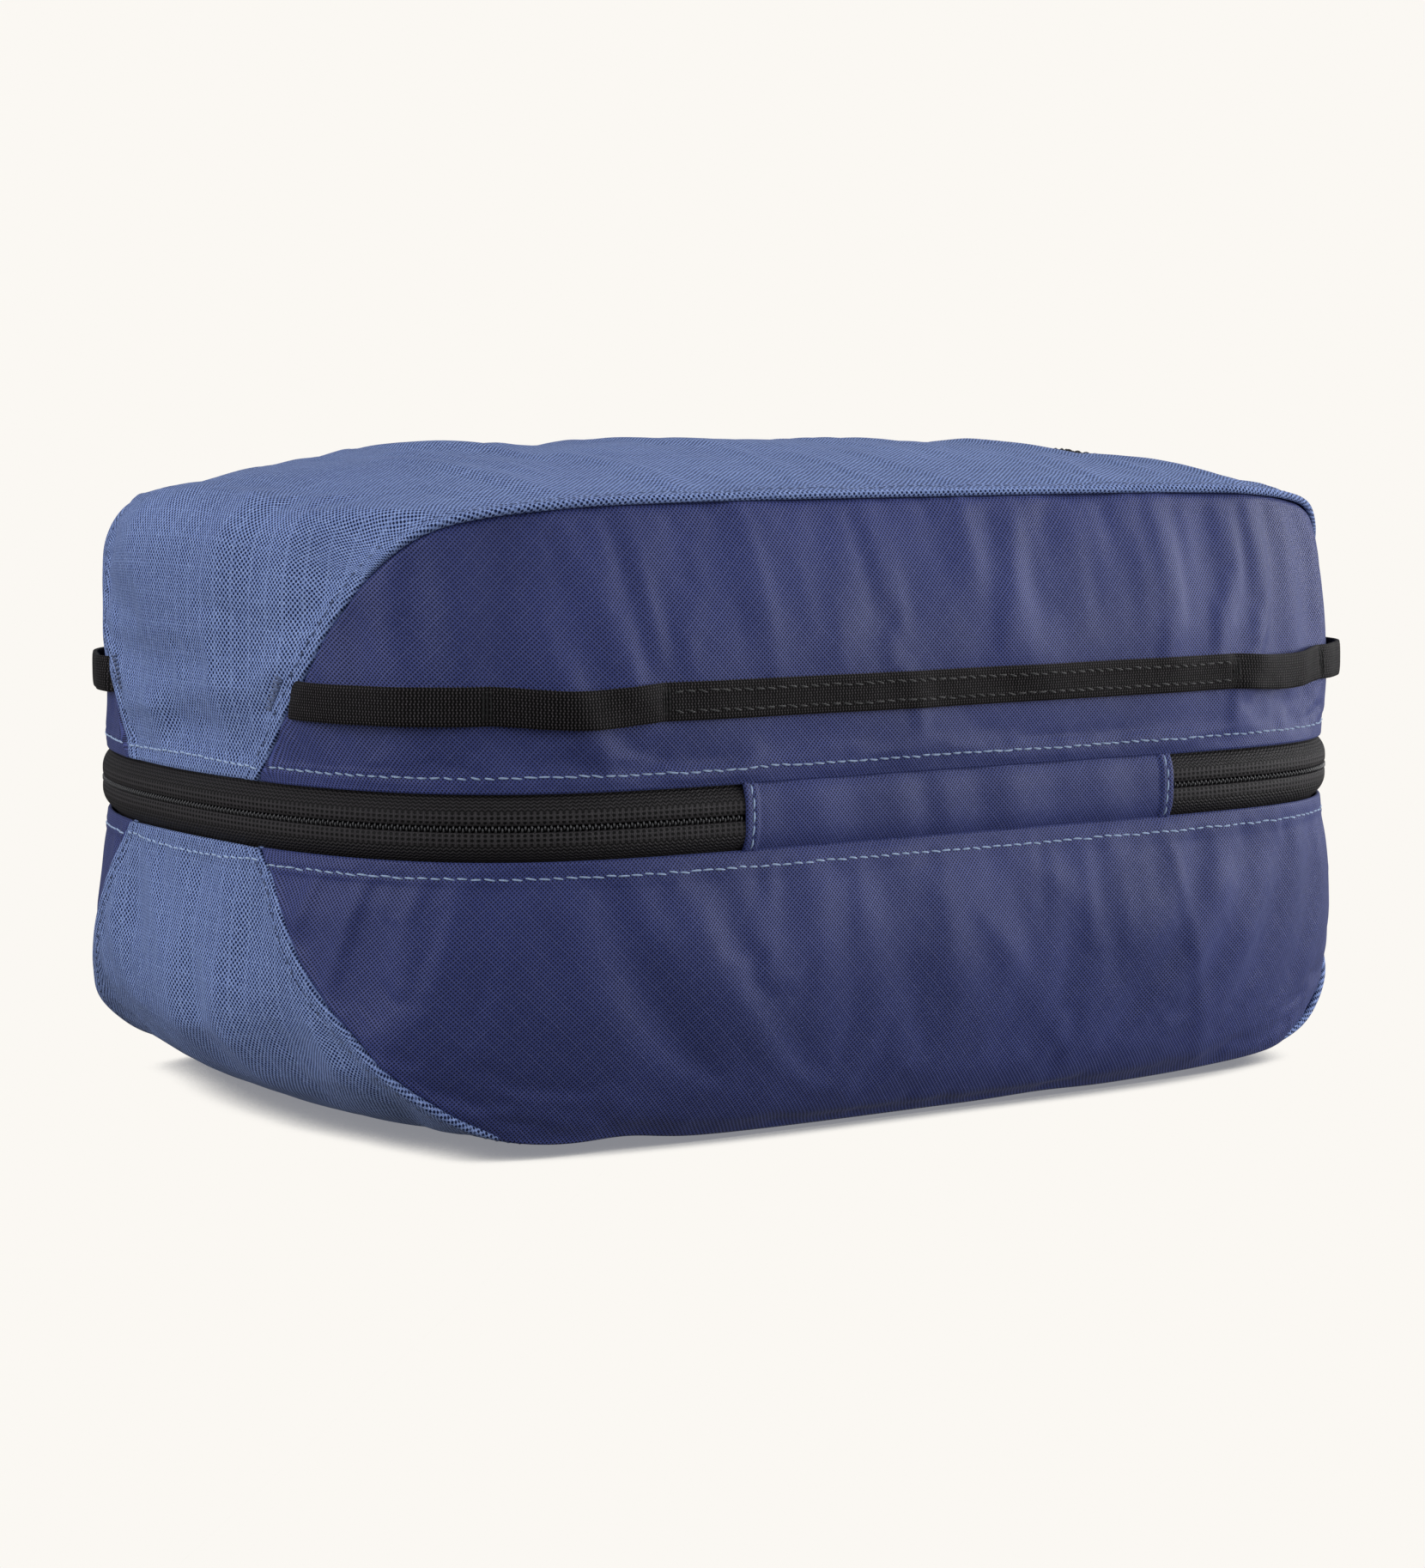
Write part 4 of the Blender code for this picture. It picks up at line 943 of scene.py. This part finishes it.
for end in (-1, 1):
    w = np.linspace(-0.86, 0.86, 80)
    p, n = gusset_pos(np.full(80, end * (GUSSET_HALF - 0.0014)), w)
    a, b, m = stitch_line(p, n, seed=260 + end)
    a_all.append(a), b_all.append(b), n_all.append(m)
hem = soft_threads("hinge_gusset_topstitch", np.concatenate(a_all), np.concatenate(b_all), np.concatenate(n_all),
                   0.00022, 0.00028, None, M_BLUE)
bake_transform(hem)

# -------------------------------------------------------------------- webbing
# how far the wall stands off the plan outline, sampled on the front right quarter
_s1, _t1 = np.meshgrid(np.linspace(0, 1, 241), np.linspace(0.02, 0.98, 49), indexing="ij")


def wall_samples(side):
    out = {}
    for sign in (-1, 1):
        p, _n = side_pos(1, side, sign * _s1, _t1)
        p = p.reshape(-1, 3)
        p = p[(p[:, 2] > WEB_Z - 0.012) & (p[:, 2] < WEB_Z + 0.012)]
        ax, ay = np.abs(p[:, 0]), -np.abs(p[:, 1])
        ref = np.linspace(0, 0.20, 1200)
        rp, rn = outline(ref)
        k = np.argmin((ax[:, None] - rp[None, :, 0]) ** 2 + (ay[:, None] - rp[None, :, 1]) ** 2, axis=1)
        off = (ax - rp[k, 0]) * rn[k, 0] + (ay - rp[k, 1]) * rn[k, 1]
        out[sign] = (ref[k], p[:, 2], off)
    return out


def wall_at(samples, ln, z):
    out = np.zeros(np.shape(ln))
    for sign in (-1, 1):
        m = (ln < 0) if sign < 0 else (ln >= 0)
        if not m.any():
            continue
        L, Z, O = samples[sign]
        d2 = (np.abs(ln[m])[:, None] - L[None]) ** 2 + (z[m][:, None] - Z[None]) ** 2
        k = np.argpartition(d2, 6, axis=1)[:, :6]
        dd = np.take_along_axis(d2, k, 1) + 1e-8
        wt = 1 / dd
        out[m] = (O[k] * wt).sum(1) / wt.sum(1)
    return out


_tack = [float(np.interp(t, _even[:400, 0], _es[:400])) for t in TACKS]
_sk = np.argmin(np.abs(SEAMS[1][:, 2] - WEB_Z) + (SEAMS[1][:, 0] < 0.12))
_rp, _rn = outline(np.linspace(0.1, 0.2, 1000))
WEB_SEAM = float(np.linspace(0.1, 0.2, 1000)[np.argmin((_rp[:, 0] - SEAMS[1][_sk, 0]) ** 2 + (_rp[:, 1] + SEAMS[1][_sk, 1]) ** 2)])
WEB_END = WEB_SEAM + 0.0006


def web_slack(ln):
    a = np.abs(ln)
    out = np.zeros(np.shape(a))
    for lo, hi, h in ((_tack[0], _tack[1], 0.0022), (_tack[1], WEB_END, 0.0022)):
        q = np.clip((a - lo) / (hi - lo), 0, 1)
        out = np.maximum(out, h * np.sin(math.pi * q) ** 1.3)
    return out


def fall(ln):
    """The loops hang a little below the sewn run."""
    a = np.abs(ln)
    q = np.clip((a - _tack[0]) / (_tack[1] - _tack[0]), 0, 1)
    return -0.0009 * np.sin(math.pi * q) ** 1.5


webs = {}
for side in (-1, 1):
    smp = wall_samples(side)
    ln = np.linspace(-WEB_END, WEB_END, 420)
    v = np.linspace(0, 1, 9)
    L, V = np.meshgrid(ln, v, indexing="ij")
    Z = WEB_Z + (V - 0.5) * WEB_W + fall(L)
    off = wall_at(smp, L.ravel(), Z.ravel()).reshape(L.shape)
    for _ in range(10):                                  # webbing is stiffer than the wall
        off[1:-1] = 0.25 * off[:-2] + 0.5 * off[1:-1] + 0.25 * off[2:]
    line = off.mean(1, keepdims=True)
    off = line + (off - line) * 0.8
    pinch = sum(bell(np.abs(L), t, 0.0016) for t in _tack)
    off = off + 0.0013 + web_slack(L) + 0.00022 * (1 - np.abs(2 * V - 1) ** 4) - 0.00035 * pinch
    off += 0.00016 * noise1(L, 0.011, 400 + side) * (1 + V)
    off = np.where(np.abs(L) > WEB_END - 0.0022, off - 0.0016 * step(np.abs(L), WEB_END - 0.0022, WEB_END), off)
    Lf, Vf = L, V
    pxy, n = outline(L, 0.0)
    pxy = pxy + n * off[..., None]
    p = np.stack([pxy[..., 0], pxy[..., 1] * (-side), Z], -1)
    n3 = np.stack([n[..., 0], n[..., 1] * (-side), np.zeros(L.shape)], -1)
    uv = np.stack([L + 0.5, V * WEB_W], -1)
    ob = grid_object(f"{SIDE[side]}_webbing_strap", p, uv, "lid", M_WEB, 0.0010)
    b = ob.modifiers.new("edge", "BEVEL")
    b.width, b.segments, b.limit_method, b.angle_limit = 0.00025, 2, "ANGLE", math.radians(50)
    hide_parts(f"{SIDE[side]}_webbing")
    a_all, b_all, n_all = [], [], []
    for row in (2, 6):                                   # two rows of stitches on the flat run
        m = np.abs(ln) < _tack[0] - 0.001
        a, bb, mm = stitch_line(p[m, row], n3[m, row], pitch=0.0027, length=0.0021, seed=420 + row + side)
        a_all.append(a), b_all.append(bb), n_all.append(mm)
    for sign in (-1, 1):                                 # bartacks across the strap
        for t in _tack:
            for k in range(7):
                q = sign * (t + (k - 3) * 0.00031)
                i = int(np.argmin(np.abs(ln - q)))
                a_all.append(p[i:i + 1, 0] * 0.06 + p[i:i + 1, 1] * 0.94)
                b_all.append(p[i:i + 1, -1] * 0.06 + p[i:i + 1, -2] * 0.94)
                n_all.append(n3[i:i + 1, 4])
    soft_threads(f"{SIDE[side]}_webbing_stitches", np.concatenate(a_all), np.concatenate(b_all),
                 np.concatenate(n_all), 0.00020, 0.00022, "lid", M_GREY, sink=0.1)
    # bartacks on the wrap, just past each end of the strap
    a_all, b_all, n_all = [], [], []
    for sign in (-1, 1):
        sw = _f[_sk]
        for k in range(15):
            z_off = (k - 7) * 0.00058
            ss = sw - z_off / SEAM_LEN[1]
            _p, w = wrap_base(1, np.array([sign * ss]), 0.0)
            t0, t1 = 0.0034 / w, 0.0058 / w
            if side > 0:
                t0, t1 = 1 - t0, 1 - t1
            zz = 0.0004 if k % 2 else -0.0004
            pa, na = wrap_pos(1, np.array([sign * ss]), t0)
            pb, nb = wrap_pos(1, np.array([sign * (ss + zz / SEAM_LEN[1])]), t1)
            a_all.append(pa), b_all.append(pb), n_all.append(na)
    soft_threads(f"{SIDE[side]}_seam_bartacks", np.concatenate(a_all), np.concatenate(b_all),
                 np.concatenate(n_all), 0.00026, 0.00022, "lid", M_MID, sink=0.1)

# grab handle over the top of the right-hand end
_ts = np.linspace(0.46, 0.54, 9)
_hs, _ht = np.meshgrid(np.linspace(0.3, 0.8, 220), _ts, indexing="ij")
_hp = wrap_pos(1, _hs, _ht)[0]
_hx, _hz = _hp[..., 0].mean(1), _hp[..., 2].max(1)
_top = [(x, float(np.interp(x, _hx, _hz)) + 0.0009) for x in (.0950, .1010, .1080, .1150, .1210, .1270)]
HANDLE = soften(resample(_top + [(.1345, .0660), (.1430, .0605), (.1488, .0540), (.1508, .0470), (.1498, .0400),
                                 (.1468, .0340), (.1436, .0300), (.1431, .0250), (.1428, .0205)], 200), 60)
u, v = np.meshgrid(np.linspace(0, 1, 200), np.linspace(0, 1, 11), indexing="ij")
hx, hz = [np.interp(u, np.linspace(0, 1, 200), HANDLE[:, j]) for j in (0, 1)]
tx, tz = np.gradient(HANDLE[:, 0]), np.gradient(HANDLE[:, 1])
tl = np.hypot(tx, tz)
nx, nz = -tz / tl, tx / tl
lift = 0.00020 * (1 - np.abs(2 * v - 1) ** 4) + 0.0001
nx2, nz2 = nx[:, None], nz[:, None]
sgn = np.where(nz2 + nx2 < 0, -1.0, 1.0)
p = np.stack([hx + nx2 * sgn * lift, (v - 0.5) * HANDLE_W * (1 - 0.10 * np.sin(math.pi * u) ** 2), hz + nz2 * sgn * lift], -1)
arc = np.r_[0, np.cumsum(np.linalg.norm(np.diff(HANDLE, axis=0), axis=1))]
uv = np.stack([np.broadcast_to(arc[:, None], u.shape), v * HANDLE_W], -1)
handle = grid_object("end_grab_strap", p, uv, "lid", M_WEB, 0.0012)
b = handle.modifiers.new("edge", "BEVEL")
b.width, b.segments, b.limit_method, b.angle_limit = 0.0003, 2, "ANGLE", math.radians(50)
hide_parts("end_grab_handle")
n3 = np.stack([np.broadcast_to(nx2 * sgn, u.shape), np.zeros(u.shape), np.broadcast_to(nz2 * sgn, u.shape)], -1)
a_all, b_all, n_all = [], [], []
for i0, i1 in ((3, 44), (176, 196)):
    for row in (1, 9):
        a, bb, mm = stitch_line(p[i0:i1, row], n3[i0:i1, row], pitch=0.0025, length=0.0020, seed=440 + row + i0)
        a_all.append(a), b_all.append(bb), n_all.append(mm)
    for i in (i0, i1):
        a, bb, mm = stitch_line(p[i, 1:10], n3[i, 1:10], pitch=0.0023, length=0.0019, seed=450 + i)
        a_all.append(a), b_all.append(bb), n_all.append(mm)
    diag = np.array([p[int(i0 + (i1 - i0) * k / 8), 1 + k] for k in range(9)])
    diag2 = np.array([p[int(i0 + (i1 - i0) * k / 8), 9 - k] for k in range(9)])
    nd = np.array([n3[int(i0 + (i1 - i0) * k / 8), 1 + k] for k in range(9)])
    for dg, sd in ((diag, 1), (diag2, 2)):
        a, bb, mm = stitch_line(dg, nd, pitch=0.0025, length=0.0020, seed=460 + sd + i0)
        a_all.append(a), b_all.append(bb), n_all.append(mm)
soft_threads("end_grab_stitches", np.concatenate(a_all), np.concatenate(b_all), np.concatenate(n_all),
             0.00021, 0.00024, "lid", M_GREY, sink=0.1)

# ------------------------------------------------------- inside: seam bindings
for half in (1, -1):
    for side in (-1, 1):
        s = np.linspace(-0.93, 0.93, 260)
        c = seam(half, side, s)
        n1 = -normals_of(lambda a, b: side_base(half, side, a, b)[0], s, np.full(260, 0.95), half)
        n2 = -normals_of(lambda a, b: wrap_base(half, a, b)[0], s, np.full(260, 0.04 if side < 0 else 0.96), half)
        d = n1 + n2
        d /= np.linalg.norm(d, axis=-1)[:, None]
        k = 0.0036 / np.minimum((d * n1).sum(-1), (d * n2).sum(-1))
        c = c + d * k[:, None]
        tg = np.gradient(c, axis=0)
        tg /= np.linalg.norm(tg, axis=-1)[:, None]
        e = np.cross(tg, d)
        ang = np.linspace(0, 2 * math.pi, 13)
        ring = c[:, None] + d[:, None] * (0.0024 * np.cos(ang))[None, :, None] + e[:, None] * (0.0008 * np.sin(ang))[None, :, None]
        arc = np.r_[0, np.cumsum(np.linalg.norm(np.diff(c, axis=0), axis=1))]
        uv = np.stack([np.broadcast_to(arc[:, None], (260, 13)), np.broadcast_to(ang * 0.0012, (260, 13))], -1)
        ob = grid_object(f"{HALF[half]}_{SIDE[side]}_seam_tape", ring, uv, BODY[half], M_BIND, raw=True)
        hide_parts(f"{HALF[half]}_{SIDE[side]}_seam_binding")

# ------------------------------------------------------------ inside: divider
ln = np.linspace(0, GIRTH / 4, 600)
_rim = outline(ln, 0.0074)[0]


def div_y(x):
    return -np.interp(np.abs(x), _rim[:, 0], _rim[:, 1])


DIV_A = float(_rim[:, 0].max())
for name, node, y_fn, mat, slot in (
        ("divider_mesh_cloth", "divider_mesh_panel",
         lambda x, v: -div_y(x) + v * (np.minimum(DIV_ZIP_Y - 0.0012, div_y(x)) + div_y(x)), M_KNIT, "divider_mesh"),
        ("divider_strip_cloth", "divider_rear_strip",
         lambda x, v: DIV_ZIP_Y + 0.0012 + v * (np.maximum(div_y(x), DIV_ZIP_Y + 0.003) - DIV_ZIP_Y - 0.0012), M_SIDE, "side_fabric")):
    span = 0.985 if "mesh" in name else 0.93
    x, v = np.meshgrid(np.linspace(-DIV_A * span, DIV_A * span, 160), np.linspace(0, 1, 60 if "mesh" in name else 16), indexing="ij")
    y = y_fn(x, v)
    edge = step((DIV_A - np.abs(x)) * step(v, 0, 0.05) * 1.0, 0.0, 0.02)
    sag = -0.0022 * edge * np.sin(math.pi * np.clip(v, 0, 1)) if "mesh" in name else 0.0
    z = DIV_Z + 0.0004 + sag + 0.0004 * noise2(x, y, 0.022, 500) * np.sin(math.pi * np.clip(v, 0, 1))
    if "mesh" in name:
        z = np.minimum(z, DIV_Z + 0.0006)
    p = np.stack([x, y, z + 0 * x], -1)
    ob = grid_object(name, p, np.stack([x + 0.5, y + 0.5], -1), "base", mat, 0.0004, raw=True)
    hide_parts(node)
for k, nm in ((-1, "front"), (1, "rear")):
    x, v = np.meshgrid(np.linspace(-DIV_ZIP_HALF, DIV_ZIP_HALF, 220), np.linspace(0, 1, 12), indexing="ij")
    y = DIV_ZIP_Y + k * (0.0008 + v * 0.0077)
    z = DIV_Z + 0.0009 + 0.00005 * noise1(x, 0.02, 510 + k) + 0 * v
    ob = grid_object(f"divider_{nm}_tape_cloth", np.stack([x, y, z], -1), np.stack([x + 0.3, k * v * 0.0077], -1), "base",
                     M_TAPE, 0.0005, raw=True)
    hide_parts(f"divider_{nm}_tape")
ln = np.linspace(0, GIRTH, 900)
ang = np.linspace(0, 2 * math.pi, 11)
L, T = np.meshgrid(ln, ang, indexing="ij")
pxy, _n = outline(L, 0.0062 + 0.0013 * np.cos(T))
p = np.stack([pxy[..., 0], pxy[..., 1], DIV_Z - 0.0004 + 0.0009 * np.sin(T)], -1)
ob = grid_object("divider_rim_tape", p, np.stack([L, T * 0.001], -1), "base", M_BIND, raw=True)
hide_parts("divider_rim_binding")

# sliders and pulls keep their CAD shape under a satin enamel
for nm in ("left_slider", "left_pull", "right_slider", "right_pull", "divider_slider", "divider_pull"):
    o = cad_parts[nm]
    o.data.materials.clear()
    o.data.materials.append(M_METAL)

# ------------------------------------------------------------ floor and light
BG = (0.9647, 0.9387, 0.8963)


def floor_material_painted_shadow():
    m = bpy.data.materials.new("pale_floor_painted_shadow")
    m.use_nodes = True
    t = m.node_tree
    t.nodes.clear()
    out = t.nodes.new("ShaderNodeOutputMaterial")
    em = t.nodes.new("ShaderNodeEmission")
    # painted contact shadow: ambient occlusion darkens the floor's emission towards grey close under the bag
    ao = t.nodes.new("ShaderNodeAmbientOcclusion")
    ao.inputs["Distance"].default_value = 0.013
    ao.samples = 16
    ramp = t.nodes.new("ShaderNodeMapRange")
    ramp.inputs["From Min"].default_value = 0.08
    ramp.inputs["From Max"].default_value = 0.42
    ramp.interpolation_type = "SMOOTHSTEP"
    mix = t.nodes.new("ShaderNodeMix")
    mix.data_type = "RGBA"
    t.links.new(ao.outputs["AO"], ramp.inputs["Value"])
    t.links.new(ramp.outputs[0], mix.inputs["Factor"])
    mix.inputs["A"].default_value = (0.24, 0.245, 0.27, 1)
    mix.inputs["B"].default_value = (*BG, 1)
    t.links.new(mix.outputs["Result"], em.inputs["Color"])
    em.inputs["Strength"].default_value = 1.0
    # rays other than camera rays see a dimmer glow of the same colour, which lights the bag from below
    low = t.nodes.new("ShaderNodeEmission")
    low.inputs["Color"].default_value = (*BG, 1)
    low.inputs["Strength"].default_value = 0.17
    lp = t.nodes.new("ShaderNodeLightPath")
    pick = t.nodes.new("ShaderNodeMixShader")
    t.links.new(lp.outputs["Is Camera Ray"], pick.inputs[0])
    t.links.new(low.outputs[0], pick.inputs[1])
    t.links.new(em.outputs[0], pick.inputs[2])
    t.links.new(pick.outputs[0], out.inputs["Surface"])
    return m


me = bpy.data.meshes.new("floor")
R = 6.0
me.from_pydata([(-R, -R, -0.0002), (R, -R, -0.0002), (R, R, -0.0002), (-R, R, -0.0002)], [], [(0, 1, 2, 3)])
me.materials.append(floor_material_painted_shadow())
floor = bpy.data.objects.new("floor", me)
bpy.context.scene.collection.objects.link(floor)

world = bpy.data.worlds.new("studio") if bpy.context.scene.world is None else bpy.context.scene.world
bpy.context.scene.world = world
world.use_nodes = True
wt = world.node_tree
wt.nodes.clear()
wo = wt.nodes.new("ShaderNodeOutputWorld")
mixs = wt.nodes.new("ShaderNodeMixShader")
lp = wt.nodes.new("ShaderNodeLightPath")
seen = wt.nodes.new("ShaderNodeBackground")
seen.inputs["Color"].default_value = (*BG, 1)
fill = wt.nodes.new("ShaderNodeBackground")
fill.inputs["Color"].default_value = (0.93, 0.96, 1.0, 1)
fill.inputs["Strength"].default_value = 0.34
wt.links.new(lp.outputs["Is Camera Ray"], mixs.inputs[0])
wt.links.new(fill.outputs[0], mixs.inputs[1])
wt.links.new(seen.outputs[0], mixs.inputs[2])
wt.links.new(mixs.outputs[0], wo.inputs["Surface"])


def softbox(name, loc, target, size, power, colour=(1, 1, 1)):
    d = bpy.data.lights.new(name, "AREA")
    d.shape = "RECTANGLE"
    d.size, d.size_y = size
    d.energy = power
    d.color = colour
    o = bpy.data.objects.new(name, d)
    o.location = loc
    o.rotation_euler = (Vector(target) - Vector(loc)).to_track_quat("-Z", "Y").to_euler()
    bpy.context.scene.collection.objects.link(o)
    return o


softbox("key_right", (1.35, -0.55, 0.40), (0.05, -0.05, 0.07), (1.5, 0.9), 22)
softbox("low_right", (0.95, -1.25, 0.16), (0.05, -0.05, 0.05), (0.9, 0.5), 8)
softbox("top", (-0.1, 0.15, 1.5), (0, 0, 0.07), (1.6, 1.2), 6.5)
softbox("left", (-1.4, 0.10, 0.6), (0, 0, 0.07), (1.2, 1.0), 15)
softbox("front_low", (-0.5, -1.6, 0.5), (0, 0, 0.07), (1.0, 0.7), 2)

cam = bpy.data.cameras.new("camera")
cam.lens = 88.91
cam.sensor_width = 36
cam.sensor_fit = "AUTO"
cam.clip_start, cam.clip_end = 0.02, 30
camera = bpy.data.objects.new("camera", cam)
camera.location = (-0.5055, -0.7388, 0.15739)
camera.rotation_euler = (math.radians(84.0923), 0, math.radians(-34.2178))
bpy.context.scene.collection.objects.link(camera)
bpy.context.scene.camera = camera

bpy.context.scene.view_settings.view_transform = "Standard"
bpy.context.scene.view_settings.look = "None"
